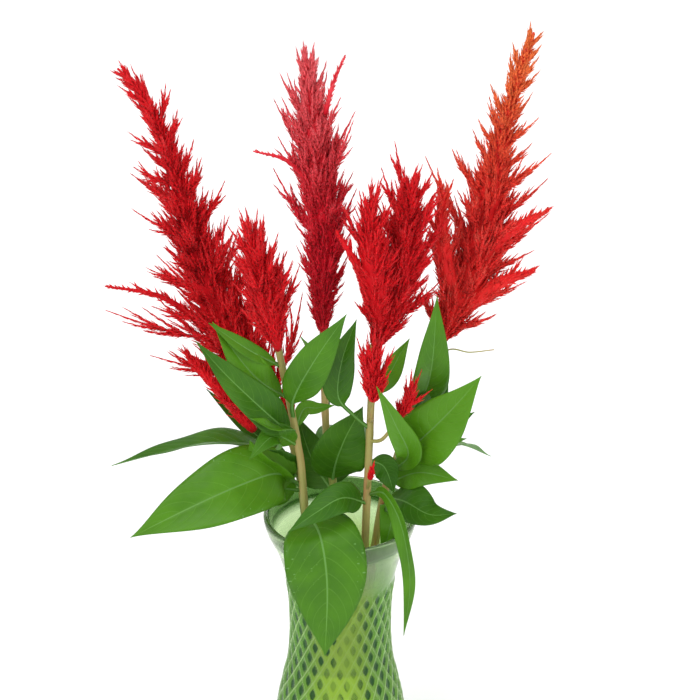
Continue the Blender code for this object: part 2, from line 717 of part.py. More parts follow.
# Plumes: the lobes of each, with the places of its axis from base to tip, the radius of
# its core and the reach of its branchlets at even steps up the axis
PLUMES = {
    "left": (
        dict(points=((-38, 20, 285), (-60, 22, 327), (-82, 25, 371), (-99, 27, 418), (-111, 28, 469),
                     (-122, 29, 510), (-136, 30, 548), (-154, 30, 570)),
             core=(3, 11, 14, 12, 8, 4.5, 2.6, 0.8), reach=(30, 60, 62, 52, 44, 33, 24, 7),
             count=56, seed=1, rise=-0.1, spread=1.5),
        dict(points=((-64, 14, 294), (-89, 6, 333), (-111, 2, 362)),
             core=(4, 5, 1), reach=(16, 20, 12), count=12, seed=11, spread=0.8),
        dict(points=((-96, 20, 376), (-129, 12, 404), (-168, 8, 414)),
             core=(3, 2, 0.6), reach=(14, 12, 5), count=7, seed=12, spread=0.5, rise=0.1),
    ),
    "inner_left": (
        dict(points=((-43, -31, 382), (-49, -35, 412), (-54, -38, 443), (-61, -39, 474)),
             core=(3, 9, 8, 1.5), reach=(24, 38, 34, 16), count=28, seed=2, bare=12.0, spread=1.1),
    ),
    "centre": (
        dict(points=((-12, 15, 372), (-12, 18, 406), (-11, 22, 444), (-15, 24, 489), (-19, 24, 534),
                     (-23, 24, 580)),
             core=(3, 8, 10, 10, 7, 1), reach=(18, 34, 44, 44, 32, 12), count=46, seed=3, spread=1.1),
        dict(points=((-10, 20, 540), (-4, 17, 564), (4, 14, 584)),
             core=(2, 1.4, 0.5), reach=(9, 7, 4), count=5, seed=31, spread=0.5),
        dict(points=((-22, 21, 490), (-38, 15, 508), (-60, 11, 516)),
             core=(2, 1.4, 0.5), reach=(9, 6, 3), count=5, seed=32, spread=0.4, rise=0.1),
    ),
    "inner_right": (
        dict(points=((24, -18, 376), (33, -15, 396), (42, -14, 430), (47, -14, 467), (50, -14, 500)),
             core=(3, 10, 11, 8, 1.5), reach=(34, 40, 42, 36, 18), count=36, seed=4),
        dict(points=((28, -20, 394), (25, -32, 430), (22, -38, 468), (22, -40, 498)),
             core=(5, 9, 8, 1.5), reach=(20, 30, 30, 16), count=24, seed=41, spread=1.1),
        dict(points=((24, -33, 424), (10, -40, 456), (-2, -43, 478)),
             core=(4, 3, 0.6), reach=(14, 12, 5), count=7, seed=42, spread=0.6),
    ),
    "right": (
        dict(points=((73, 22, 360), (87, 24, 396), (101, 26, 434), (108, 27, 480), (116, 27, 526),
                     (123, 27, 559), (134, 27, 597)),
             core=(3, 11, 12, 9, 5, 2.6, 0.8), reach=(34, 48, 52, 36, 27, 20, 8),
             count=48, seed=5, rise=0.1, spread=1.5),
        dict(points=((84, 20, 396), (73, 13, 444), (73, 10, 486)),
             core=(6, 7, 1.5), reach=(20, 24, 14), count=14, seed=51, spread=1.0),
        dict(points=((91, 22, 393), (117, 14, 415), (140, 9, 426)),
             core=(7, 5, 0.8), reach=(20, 18, 6), count=9, seed=52, spread=0.7, rise=0.2),
        dict(points=((102, 24, 430), (125, 16, 456), (148, 12, 471)),
             core=(7, 4, 0.8), reach=(20, 16, 6), count=8, seed=53, spread=0.7, rise=0.2),
    ),
    "side_forked": (
        dict(points=((24.2, -48.6, 351), (24, -52, 366), (23, -54, 380)),
             core=(3, 4, 1.5), reach=(22, 29, 27), count=13, seed=6, spread=0.7, bare=3.0),
    ),
    "side_loose": (
        dict(points=((42.3, -36.2, 330.6), (47, -38, 340), (51, -39, 350)),
             core=(1.8, 1.8, 1), reach=(13, 19, 20), count=9, seed=7, spread=1.0, bare=2.0),
    ),
    "bud_low": (
        dict(points=((22.1, -27.2, 275.6), (23, -28, 280), (23.4, -28.5, 284)),
             core=(1.8, 1.8, 1), reach=(5, 6, 6), count=5, seed=8, spread=0.7, bare=1.0),
    ),
}


def main():
    """Build every piece."""
    remove_everything()
    parts = new_collection("plume_celosia_in_vase")
    glass = finish("green_glass", GLASS_GREEN, GLASS_ROUGHNESS)
    clear = finish("water", WATER_CLEAR, WATER_ROUGHNESS)
    green = finish("leaf_green", LEAF_GREEN, LEAF_ROUGHNESS)
    red = finish("plume_red", PLUME_RED, PLUME_ROUGHNESS)
    orange = finish("plume_orange", PLUME_ORANGE, PLUME_ROUGHNESS)

    stems = {name: stem_run(points) for name, points in STEM_PATHS.items()}
    make_vase(parts, glass)
    make_water(parts, clear, list(stems.values()))
    for name, stem in stems.items():
        make_shoot("shoot_" + name, parts, green, stem, LEAVES[name], STALKS.get(name, ()))
    for name, lobes in PLUMES.items():
        node = name if name == "bud_low" else "plume_" + name
        make_plume(node, parts, orange if name == "right" else red, lobes)


main()
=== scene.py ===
# %% [markdown]
# # Plume celosia in a pressed-glass vase
#
# Five cut shoots of plume celosia stand in a waisted green glass vase. Each
# shoot carries lance-shaped leaves and ends in a feathery red plume. The lesson
# dresses the plain solids of the model: glass, water, stems, leaves and plumes,
# in that order, then sets the light and the camera.

import math
import random

import bpy
import numpy as np
from mathutils import Matrix, Vector


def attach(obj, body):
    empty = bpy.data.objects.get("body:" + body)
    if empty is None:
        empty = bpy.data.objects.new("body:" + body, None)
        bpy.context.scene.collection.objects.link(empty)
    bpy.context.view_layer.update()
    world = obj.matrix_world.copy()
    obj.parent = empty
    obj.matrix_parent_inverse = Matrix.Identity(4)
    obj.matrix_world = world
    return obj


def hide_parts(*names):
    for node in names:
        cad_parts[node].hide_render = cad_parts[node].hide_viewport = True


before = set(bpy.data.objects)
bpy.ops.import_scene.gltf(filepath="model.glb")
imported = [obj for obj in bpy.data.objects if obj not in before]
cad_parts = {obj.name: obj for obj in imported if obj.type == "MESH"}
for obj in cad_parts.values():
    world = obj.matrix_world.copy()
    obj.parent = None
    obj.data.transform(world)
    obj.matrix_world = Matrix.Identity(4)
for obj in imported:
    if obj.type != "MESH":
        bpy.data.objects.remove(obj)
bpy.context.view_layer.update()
MILLI = 0.001

# %% [markdown]
# ## Small helpers
#
# Most pieces here are grids or swarms of small forms, so each is worked out as
# an array of points and handed to Blender in one go. That is far quicker than
# placing vertices one at a time, and the piece is one clean mesh.

# %% Meshes from arrays
def build_mesh(name, points, faces):
    """A smooth mesh object from points in millimetres and faces of one size each."""
    mesh = bpy.data.meshes.new(name)
    points = np.asarray(points, np.float32) * MILLI
    groups = [np.asarray(group, np.int32) for group in faces if len(group)]
    loops = np.concatenate([group.ravel() for group in groups])
    totals = np.concatenate([np.full(len(group), group.shape[1], np.int32) for group in groups])
    starts = np.concatenate(([0], np.cumsum(totals)[:-1])).astype(np.int32)
    mesh.vertices.add(len(points))
    mesh.vertices.foreach_set("co", points.ravel())
    mesh.loops.add(len(loops))
    mesh.loops.foreach_set("vertex_index", loops)
    mesh.polygons.add(len(totals))
    mesh.polygons.foreach_set("loop_start", starts)
    mesh.polygons.foreach_set("loop_total", totals)
    mesh.update(calc_edges=True)
    mesh.validate()
    mesh.shade_smooth()
    obj = bpy.data.objects.new(name, mesh)
    bpy.context.scene.collection.objects.link(obj)
    return obj


def paint(obj, name, values):
    """Store one number a vertex, for a material to read."""
    layer = obj.data.attributes.new(name, "FLOAT", "POINT")
    layer.data.foreach_set("value", np.asarray(values, np.float32))


def dress(obj, material, node):
    """Give a piece its finish, and let it stand for its solid."""
    obj.data.materials.append(material)
    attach(obj, "root")
    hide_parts(node)
    triangles = sum(len(face.vertices) - 2 for face in obj.data.polygons)
    print(f"{obj.name}: {triangles} triangles")


def grid_faces(rows, columns, start=0, closed=False):
    """Four-sided faces of a grid of points stored row by row."""
    last = columns if closed else columns - 1
    row, column = np.meshgrid(np.arange(rows - 1), np.arange(last), indexing="ij")
    further = (column + 1) % columns
    corners = [row * columns + column, row * columns + further]
    corners += [(row + 1) * columns + further, (row + 1) * columns + column]
    return np.stack(corners, -1).reshape(-1, 4) + start


# %% A smooth curve through a few places
CURVE_STEPS = 24


def smooth_path(points, count):
    """Evenly spaced points on a smooth curve through a few given places."""
    knots = np.asarray(points, float)
    knots = np.vstack([2 * knots[0] - knots[1], knots, 2 * knots[-1] - knots[-2]])
    t = (np.arange(CURVE_STEPS) / CURVE_STEPS)[:, None]
    dense = []
    for index in range(1, len(knots) - 2):
        before, start, end, after = knots[index - 1:index + 3]
        dense.append(0.5 * (
            2 * start + (end - before) * t
            + (2 * before - 5 * start + 4 * end - after) * t ** 2
            + (3 * start - before - 3 * end + after) * t ** 3
        ))
    dense = np.vstack([*dense, knots[-2][None]])
    steps = np.linalg.norm(np.diff(dense, axis=0), axis=1)
    reach = np.concatenate(([0.0], np.cumsum(steps)))
    wanted = np.linspace(0.0, reach[-1], count)
    return np.stack([np.interp(wanted, reach, dense[:, k]) for k in range(3)], -1)


def unit(vectors):
    """Vectors of length one."""
    return vectors / np.maximum(np.linalg.norm(vectors, axis=-1, keepdims=True), 1e-9)


# %% A tube with a smooth turn-free frame
# A way that no tube runs, which sets where its rings start
RING_GUIDE = (0.0, 1.0, 0.13)


def tube_faces(rows, sides):
    """Side faces and the two end caps of a tube."""
    low = np.arange(sides)[None]
    high = (np.arange(sides)[::-1] + (rows - 1) * sides)[None]
    return grid_faces(rows, sides, closed=True)[:, ::-1], low, high


def tube(path, radii, sides, ribs=0, rib_depth=0.0):
    """Rings of points round a path, with shallow ribs along it, and their faces."""
    along = unit(np.gradient(path, axis=0))
    first = unit(np.cross(along, RING_GUIDE))
    second = np.cross(first, along)
    angle = np.linspace(0.0, math.tau, sides, endpoint=False)
    swell = 1.0 + rib_depth * np.cos(ribs * angle)
    ring = first[:, None] * np.cos(angle)[:, None] + second[:, None] * np.sin(angle)[:, None]
    points = path[:, None] + ring * swell[:, None] * radii[:, None, None]
    return points, tube_faces(len(path), sides)


# %% [markdown]
# ## Node materials
#
# Every finish is a Principled shader with a few procedural nodes in front. The
# helper below keeps the wiring short: it makes a node, sets its values and
# links its inputs in one call.

# %% Material helper
class Finish:
    """A material whose nodes are added one call at a time."""

    def __init__(self, name):
        self.material = bpy.data.materials.new(name)
        self.material.use_nodes = True
        self.tree = self.material.node_tree
        self.shader = self.tree.nodes["Principled BSDF"]

    def node(self, kind, inputs=None, **settings):
        """A node with its settings and its inputs, which are values or sockets."""
        made = self.tree.nodes.new(kind)
        for key, value in settings.items():
            setattr(made, key, value)
        for key, value in (inputs or {}).items():
            self.feed(made.inputs[key], value)
        return made

    def feed(self, socket, value):
        """Link a socket, or set its value. A colour is given as three numbers."""
        if isinstance(value, bpy.types.NodeSocket):
            self.tree.links.new(value, socket)
        elif socket.type == "RGBA":
            socket.default_value = (*value, 1.0)
        else:
            socket.default_value = value

    def math(self, operation, first, second=0.0):
        """One sum on numbers."""
        return self.node("ShaderNodeMath", {0: first, 1: second}, operation=operation).outputs[0]

    def mix(self, share, first, second):
        """One colour blended into another."""
        inputs = {"Factor": share, 6: first, 7: second}
        return self.node("ShaderNodeMix", inputs, data_type="RGBA").outputs[2]

    def ramp(self, value, low, high):
        """A number stretched so that low becomes 0 and high becomes 1."""
        inputs = {"Value": value, "From Min": low, "From Max": high}
        return self.node("ShaderNodeMapRange", inputs, interpolation_type="SMOOTHSTEP").outputs[0]

    def spread(self, value, low, high):
        """A number from 0 to 1 turned into one from low to high."""
        inputs = {"Value": value, "To Min": low, "To Max": high}
        return self.node("ShaderNodeMapRange", inputs).outputs[0]

    def times(self, first, second):
        """Two numbers multiplied."""
        return self.math("MULTIPLY", first, second)

    def stored(self, name):
        """A number stored on the mesh."""
        return self.node("ShaderNodeAttribute", attribute_name=name).outputs["Fac"]

    def noise(self, scale, detail=3.0, stretch=(1.0, 1.0, 1.0)):
        """Noise in the object's own space, stretched along its axes."""
        place = self.node("ShaderNodeTexCoord").outputs["Object"]
        spread = self.node("ShaderNodeMapping", {"Vector": place, "Scale": stretch}).outputs[0]
        inputs = {"Vector": spread, "Scale": scale, "Detail": detail}
        return self.node("ShaderNodeTexNoise", inputs).outputs["Fac"]

    def bump(self, height, strength, distance):
        """Fine relief on the shader's normal."""
        inputs = {"Height": height, "Strength": strength, "Distance": distance}
        self.feed(self.shader.inputs["Normal"], self.node("ShaderNodeBump", inputs).outputs[0])

    def set(self, **values):
        """Values or sockets for the shader, with underscores for spaces."""
        for key, value in values.items():
            self.feed(self.shader.inputs[key.replace("_", " ")], value)


# %% [markdown]
# ## The vase
#
# Pressed glass takes its pattern from the mould: a net of thin raised ridges
# with a dimple in each diamond, 24 diamonds around. The outline is turned, and
# the net is worked out from two families of slanting lines, so that a fine grid
# of points carries it as real relief. A bump map would leave the outline smooth.

# %% Outline of the vase, radius by height in millimetres
VASE_OUTLINE = (
    (230.0, 57.5), (222.0, 56.0), (213.0, 52.5), (203.0, 48.0), (190.0, 44.0),
    (172.0, 40.2), (153.0, 38.4), (126.0, 38.2), (103.0, 40.2), (87.0, 43.8),
    (68.0, 47.6), (45.0, 50.8), (22.0, 51.0), (8.0, 48.5), (0.0, 45.0),
)
WALL = 4.0
FLOOR_THICKNESS = 10.0
LIP_ROUND = 2.0
WATER_SURFACE = 110.0


def outline_radius(height):
    """Outer radius at a height, eased between the outline's points."""
    rows = VASE_OUTLINE
    index = next(place for place in range(len(rows) - 1) if height >= rows[place + 1][0])
    top, top_radius = rows[index]
    bottom, bottom_radius = rows[index + 1]
    above = rows[max(index - 1, 0)]
    below = rows[min(index + 2, len(rows) - 1)]
    span = top - bottom
    t = (top - height) / span
    slope_top = (bottom_radius - above[1]) / (above[0] - bottom) * span if index else 0.0
    slope_bottom = (below[1] - top_radius) / (top - below[0]) * span
    return (
        (2 * t ** 3 - 3 * t ** 2 + 1) * top_radius
        + (t ** 3 - 2 * t ** 2 + t) * slope_top
        + (3 * t ** 2 - 2 * t ** 3) * bottom_radius
        + (t ** 3 - t ** 2) * slope_bottom
    )


# %% Relief of the diamond net
COLUMNS = 48
RELIEF_TOP = 182.0
RELIEF_ROW = 10.0
RELIEF_ROWS = 17
RIDGE_HEIGHT = 1.2
DIMPLE_DEPTH = 0.8
RIDGE_SPREAD = 0.13
NET_FADE_ROWS = 0.9


def net_relief(angle, height):
    """Height of the net over the outline, in millimetres."""
    column = angle / math.tau * COLUMNS
    row = (RELIEF_TOP - height) / RELIEF_ROW
    one = np.mod((column + row) / 2, 1.0)
    other = np.mod((column - row) / 2, 1.0)
    nearest = np.minimum(np.minimum(one, 1.0 - one), np.minimum(other, 1.0 - other))
    ridge = np.exp(-(nearest / RIDGE_SPREAD) ** 2)
    dimple = np.sin(math.pi * one) * np.sin(math.pi * other)
    fade = np.clip(np.minimum(row, RELIEF_ROWS - row) / NET_FADE_ROWS, 0.0, 1.0)
    fade = fade * fade * (3.0 - 2.0 * fade)
    return fade * (RIDGE_HEIGHT * ridge - DIMPLE_DEPTH * dimple)


# %% Turn the vase and raise its net
AROUND = 240
AXIS_RADIUS = 0.02
INNER_LOW = 14.0
INNER_STEP = 6.0
OUTER_LOW = 2.0
OUTER_STEP = 1.5
LIP_POINTS = 9
LIP_SHADE_START = 215.0
LIP_SHADE_FADE = 3.0
LIP_SHADE_INSET = 0.7
FOOT_ROUND = (1.2, 1.0)
# Inner corner of the floor: how far in from the wall, and how far up from the floor
FLOOR_CORNER = ((6.0, 0.0), (1.5, 0.8))


def vase_profile():
    """Radii, heights and a mark for the patterned rows, from inner floor to outer base."""
    top = VASE_OUTLINE[0][0]
    rim = outline_radius(top)
    floor_radius = outline_radius(FLOOR_THICKNESS) - WALL
    inner = [(AXIS_RADIUS, FLOOR_THICKNESS, 0)]
    inner += [(floor_radius - inward, FLOOR_THICKNESS + up, 0) for inward, up in FLOOR_CORNER]
    for height in np.arange(INNER_LOW, top, INNER_STEP):
        inner.append((outline_radius(height) - WALL, height, 0))
    lip = []
    for angle in np.linspace(math.pi, 0.0, LIP_POINTS):
        lip.append((rim - WALL / 2 + WALL / 2 * math.cos(angle), top + LIP_ROUND * math.sin(angle), 0))
    heights = np.arange(top - OUTER_STEP, OUTER_LOW, -OUTER_STEP)
    outer = [(outline_radius(height), height, 1) for height in heights]
    foot = VASE_OUTLINE[-1][1]
    base = [(foot + FOOT_ROUND[0], FOOT_ROUND[1], 0), (foot, 0.0, 0), (AXIS_RADIUS, 0.0, 0)]
    return np.array(inner + lip + outer + base)


def turn_profile(profile, around, relief=None):
    """Points of a turned form, row by row."""
    angle = np.linspace(0.0, math.tau, around, endpoint=False)
    radius = np.repeat(profile[:, :1], around, axis=1)
    height = np.repeat(profile[:, 1:2], around, axis=1)
    if relief is not None:
        radius = radius + relief(angle[None], height) * profile[:, 2:3]
    return np.stack([radius * np.cos(angle), radius * np.sin(angle), height], -1)


profile = vase_profile()
points = turn_profile(profile, AROUND, net_relief)
vase_glass = build_mesh("vase_glass", points.reshape(-1, 3), tube_faces(len(profile), AROUND))
lift = np.linalg.norm(points[..., :2], axis=-1) - profile[:, :1]
paint(vase_glass, "dimple", np.clip(-lift / DIMPLE_DEPTH, 0.0, 1.0).ravel())
paint(vase_glass, "ridge", np.clip(lift / RIDGE_HEIGHT, 0.0, 1.0).ravel())
paint(vase_glass, "height", np.repeat(profile[:, 1] / VASE_OUTLINE[0][0], AROUND))
# Painted shade: a dark green band on the top of the inner wall, inside the lip
inside = profile[:, 0] < outline_radius(VASE_OUTLINE[0][0]) - WALL * LIP_SHADE_INSET
lip_shade = inside * np.clip((profile[:, 1] - LIP_SHADE_START) / LIP_SHADE_FADE, 0.0, 1.0)
paint(vase_glass, "lip_shade", np.repeat(lip_shade, AROUND))
print("rows of the vase:", len(profile))

# %% [markdown]
# The glass is lime green in the body and nearly colourless at the mouth. Much of
# its light and shade is painted into its colour. Painted shade makes a dimple dark
# green where it is seen from the side, where the line of sight runs through more
# glass, and darkens the outline seen at a slant, the glass above the water line and
# a band inside the lip. A painted highlight makes a ridge a pale thread. The marks
# stored with the relief, and the slant at which the outline is seen, steer these
# tints. A little noise keeps the highlights from looking machined.

# %% Green pressed glass
GLASS_BODY = (0.52, 0.78, 0.06)
# Painted shade: a darker green for the outline where it is seen at a slant
GLASS_SIDE_SHADE = (0.13, 0.40, 0.07)
# Painted shade: the dark green of dimples seen from the side
GLASS_DIMPLE_SHADE = (0.008, 0.09, 0.004)
# Painted highlight: the pale thread on the ridges
GLASS_RIDGE_HIGHLIGHT = (0.60, 0.86, 0.32)
GLASS_RIM = (0.58, 0.77, 0.42)
# Painted shade: the dark green band inside the lip
GLASS_LIP_SHADE = (0.04, 0.14, 0.015)
# Painted shade: the darker tint of the glass above the water line
GLASS_ABOVE_WATER_SHADE = (0.40, 0.60, 0.06)
DIMPLE_SHADE_LEAST = 0.14
DIMPLE_SHADE_EDGE = (0.25, 0.75)
DIMPLE_SHADE_SLANT = (0.10, 0.32)
DIMPLE_SHADE_CHANCE = (0.56, 0.64)
RIDGE_HIGHLIGHT_EDGE = (0.6, 1.0)
SIDE_SHADE_SLANT = (0.08, 0.45)
SIDE_SHADE_SHARE = 0.8
ABOVE_WATER_SHADE_SHARE = 0.8
LINE_BLUR = 0.004
MOUTH_FADE = (0.74, 0.93)
CLEAR_BODY_TO_MOUTH = (0.58, 0.88)
LIP_SHADE_DULLING = 0.5


def make_glass():
    """Lime glass, nearly colourless at the rim, with painted shading that makes dimples seen from the
    side dark green, and painted highlights on the ridges.
    """
    glass = Finish("green_pressed_glass")
    place = glass.node("ShaderNodeTexCoord").outputs["Object"]
    flat = {0: place, 1: (1.0, 1.0, 0.0)}
    level = glass.node("ShaderNodeVectorMath", flat, operation="MULTIPLY").outputs[0]
    outward = glass.node("ShaderNodeVectorMath", {0: level}, operation="NORMALIZE").outputs[0]
    facing = glass.node("ShaderNodeLayerWeight", {"Blend": 0.5, "Normal": outward}).outputs["Facing"]
    # How far the outline is seen at a slant; it steers the painted shade at the sides and the painted
    # highlight on the ridges
    sideways = glass.ramp(facing, *SIDE_SHADE_SLANT)
    # Painted shade: dimples are darkened a little everywhere, more at random, and most where they are
    # seen from the side
    few = glass.ramp(glass.noise(30.0, 1.0, (1.0, 1.0, 0.5)), *DIMPLE_SHADE_CHANCE)
    dimple_shade_share = glass.math("MAXIMUM", few, DIMPLE_SHADE_LEAST)
    dimple_shade_share = glass.math("MAXIMUM", glass.ramp(facing, *DIMPLE_SHADE_SLANT), dimple_shade_share)
    dimple_shade = glass.times(glass.ramp(glass.stored("dimple"), *DIMPLE_SHADE_EDGE), dimple_shade_share)
    # Painted highlight: a pale thread along each ridge, strongest where the outline is seen at a slant
    ridge = glass.times(glass.ramp(glass.stored("ridge"), *RIDGE_HIGHLIGHT_EDGE), sideways)
    height = glass.stored("height")
    line = WATER_SURFACE / VASE_OUTLINE[0][0]
    # Painted shade: the glass is tinted darker above the water line, where no water stands behind it
    above_water_shade = glass.times(glass.ramp(height, line - LINE_BLUR, line + LINE_BLUR), ABOVE_WATER_SHADE_SHARE)
    body = glass.mix(above_water_shade, GLASS_BODY, GLASS_ABOVE_WATER_SHADE)
    # Painted shade: darker green where the outline is seen at a slant
    body = glass.mix(glass.times(sideways, SIDE_SHADE_SHARE), body, GLASS_SIDE_SHADE)
    body = glass.mix(ridge, body, GLASS_RIDGE_HIGHLIGHT)
    body = glass.mix(dimple_shade, body, GLASS_DIMPLE_SHADE)
    mouth = glass.ramp(height, *MOUTH_FADE)
    # Painted shade inside the lip, made darker and less clear
    lip_shade = glass.stored("lip_shade")
    body = glass.mix(lip_shade, glass.mix(mouth, body, GLASS_RIM), GLASS_LIP_SHADE)
    lip_shade_clearness = glass.math("SUBTRACT", 1.0, glass.times(lip_shade, LIP_SHADE_DULLING))
    clearness = glass.times(glass.spread(mouth, *CLEAR_BODY_TO_MOUTH), lip_shade_clearness)
    glass.set(Base_Color=body, Transmission_Weight=clearness, Roughness=0.05, IOR=1.36)
    glass.bump(glass.noise(60.0, 2.0), 0.08, 0.001)
    return glass.material


dress(vase_glass, make_glass(), "vase")

# %% [markdown]
# ## The water
#
# Water wets the glass, so its edge climbs a little at the wall. Its side lies a
# hair inside the glass, because an air gap between the two would act as a
# mirror.

# %% Still water with a raised edge
WATER_OVERLAP = 0.25
WATER_EDGE = 4.0
WATER_SIDES = 96
STILL_RADIUS = 24.0
MENISCUS = 1.6
MENISCUS_BEND = 8
MENISCUS_ROWS = 7
# Lower corner of the water: how far in from the wall, and how far up from the floor
WATER_CORNER = ((1.3, 0.6), (6.0, -0.2))


def make_water():
    """Water that fills the foot of the vase."""
    rows = [(AXIS_RADIUS, WATER_SURFACE), (STILL_RADIUS, WATER_SURFACE)]
    edge = outline_radius(WATER_SURFACE) - WALL + WATER_OVERLAP
    for step in np.linspace(0.0, 1.0, MENISCUS_ROWS)[1:]:
        radius = STILL_RADIUS + (edge - STILL_RADIUS) * step
        rows.append((radius, WATER_SURFACE + MENISCUS * step ** MENISCUS_BEND))
    for height in np.arange(WATER_SURFACE - WATER_EDGE, INNER_LOW, -INNER_STEP):
        rows.append((outline_radius(height) - WALL + WATER_OVERLAP, height))
    for inward, up in WATER_CORNER:
        rows.append((outline_radius(FLOOR_THICKNESS) - WALL - inward, FLOOR_THICKNESS + up))
    rows.append((AXIS_RADIUS, rows[-1][1]))
    shape = turn_profile(np.array(rows), WATER_SIDES)
    return build_mesh("water_fill", shape.reshape(-1, 3), tube_faces(len(rows), WATER_SIDES))


clear = Finish("clear_water")
clear.set(Base_Color=(0.93, 0.97, 0.88), Roughness=0.0, IOR=1.33, Transmission_Weight=1.0)
clear.bump(clear.noise(25.0, 1.0), 0.03, 0.001)
dress(make_water(), clear.material, "water")

# %% [markdown]
# ## The stems
#
# A celosia stem is round with shallow ribs, tan green with reddish streaks, and
# a little swollen where a leaf joins. Each is one tube along the same places as
# its solid, and runs a few millimetres on into the foot of its plume.

# %% Places of the stems, from foot to top in millimetres
STEM_PATHS = {
    "left": ((-14, 15, 11.5), (-20, 17, 130), (-30, 18, 249), (-37.6, 20, 284)),
    "inner_left": (
        (-16, -13, 11.5), (-21, -14, 130), (-27, -18, 264), (-31, -20, 304), (-42.7, -30.6, 381),
    ),
    "centre": ((-3, 20, 11.5), (-4, 16, 130), (-5, 14, 243), (-10, 14, 290), (-12, 15, 371)),
    "inner_right": ((10, -16, 11.5), (16, -17, 130), (20, -18, 253), (22, -18, 310), (24, -18, 374.8)),
    "right": ((17, 8, 11.5), (20, 8, 130), (31, 10, 230), (43, 14, 273), (56, 18, 317), (72.6, 22, 359)),
}
ROUGH_POINTS = 60
STEM_FOOT = 3.3
STEM_TOP = 2.5
STEM_SIDES = 24
STEM_ROW = 2.5
STEM_SUNK = 5.0
STEM_RIBS = 7
RIB_DEPTH = 0.05
KNOT_SWELL = 0.08
KNOT_SPACING = 9.0
KNOT_SHARPNESS = 12
STALK_SIDES = 12
STALK_ROW = 1.5
# Places of each stalk, and its radius at both ends
STALKS = {
    "inner_right": (
        (((22, -18, 318), (23, -34, 330), (24, -48, 350)), 1.5, 1.1),
        (((21, -18, 302), (31, -26, 308), (42, -36, 330)), 1.5, 1.1),
        (((20, -18, 262), (21, -23, 268), (22, -27, 275)), 1.5, 1.1),
    ),
    "right": ((((59, -14, 348), (76, -18, 375), (93, -20, 375), (110, -22, 378)), 0.7, 0.4),),
}


# %% Stem pieces
def join_parts(parts):
    """Several sets of points and faces as one."""
    points, faces, start = [], [], 0
    for part_points, part_faces in parts:
        flat = part_points.reshape(-1, 3)
        points.append(flat)
        faces += [group + start for group in part_faces]
        start += len(flat)
    return np.vstack(points), faces


def rod(places, start, end, sides, row, ribs=0, rib_depth=0.0, knots=0.0):
    """A tapered ribbed rod along a few places."""
    rough = smooth_path(places, ROUGH_POINTS)
    length = np.linalg.norm(np.diff(rough, axis=0), axis=1).sum()
    count = int(length / row)
    path = smooth_path(places, count)
    t = np.linspace(0.0, 1.0, count)
    radii = start + (end - start) * t
    radii *= 1.0 + knots * np.maximum(0.0, np.sin(t * length / KNOT_SPACING)) ** KNOT_SHARPNESS
    return tube(path, radii, sides, ribs, rib_depth)


def make_stem(name):
    """One stem, with the stalks of its small side plumes."""
    places = np.array(STEM_PATHS[name], float)
    places[-1] += unit(places[-1] - places[-2]) * STEM_SUNK
    parts = [rod(places, STEM_FOOT, STEM_TOP, STEM_SIDES, STEM_ROW, STEM_RIBS, RIB_DEPTH, KNOT_SWELL)]
    for stalk in STALKS.get(name, ()):
        parts.append(rod(*stalk, STALK_SIDES, STALK_ROW))
    points, faces = join_parts(parts)
    return build_mesh("stem_" + name, points, faces)


# %% Stem finish
STEM_GREEN = (0.21, 0.27, 0.05)
STEM_TAN = (0.44, 0.32, 0.12)
STEM_RED = (0.42, 0.12, 0.06)


def make_stem_finish():
    """Tan green skin with red streaks that run along the stem."""
    skin = Finish("stem_skin")
    streak = skin.noise(260.0, 4.0, (1.0, 1.0, 0.07))
    patch = skin.noise(18.0, 3.0, (1.0, 1.0, 0.6))
    ground = skin.mix(skin.ramp(patch, 0.3, 0.7), STEM_GREEN, STEM_TAN)
    red = skin.times(skin.ramp(streak, 0.48, 0.68), skin.ramp(patch, 0.38, 0.66))
    colour = skin.mix(skin.times(red, 0.75), ground, STEM_RED)
    skin.set(Base_Color=colour, Roughness=0.5, Specular_IOR_Level=0.4)
    skin.bump(streak, 0.35, 0.0006)
    return skin.material


stem_finish = make_stem_finish()
for name in STEM_PATHS:
    dress(make_stem(name), stem_finish, "shoot_" + name)

# %% [markdown]
# ## The leaves
#
# A leaf is a thin lance-shaped blade, sunk along its veins and puffed between
# them, with a rib under its middle. Each blade is a grid bent along a spine,
# given a real thickness, so that the veins are shape as well as colour. The
# spines and widths are those of the solids. Where the table names no fold or
# wave, a leaf takes the usual ones.

# %% Leaves of each shoot
def leaf(width, facing, *points, **others):
    """One leaf of the table: its width, the way its face looks, and places along its spine."""
    return dict(points=points, width=width, facing=facing, **others)


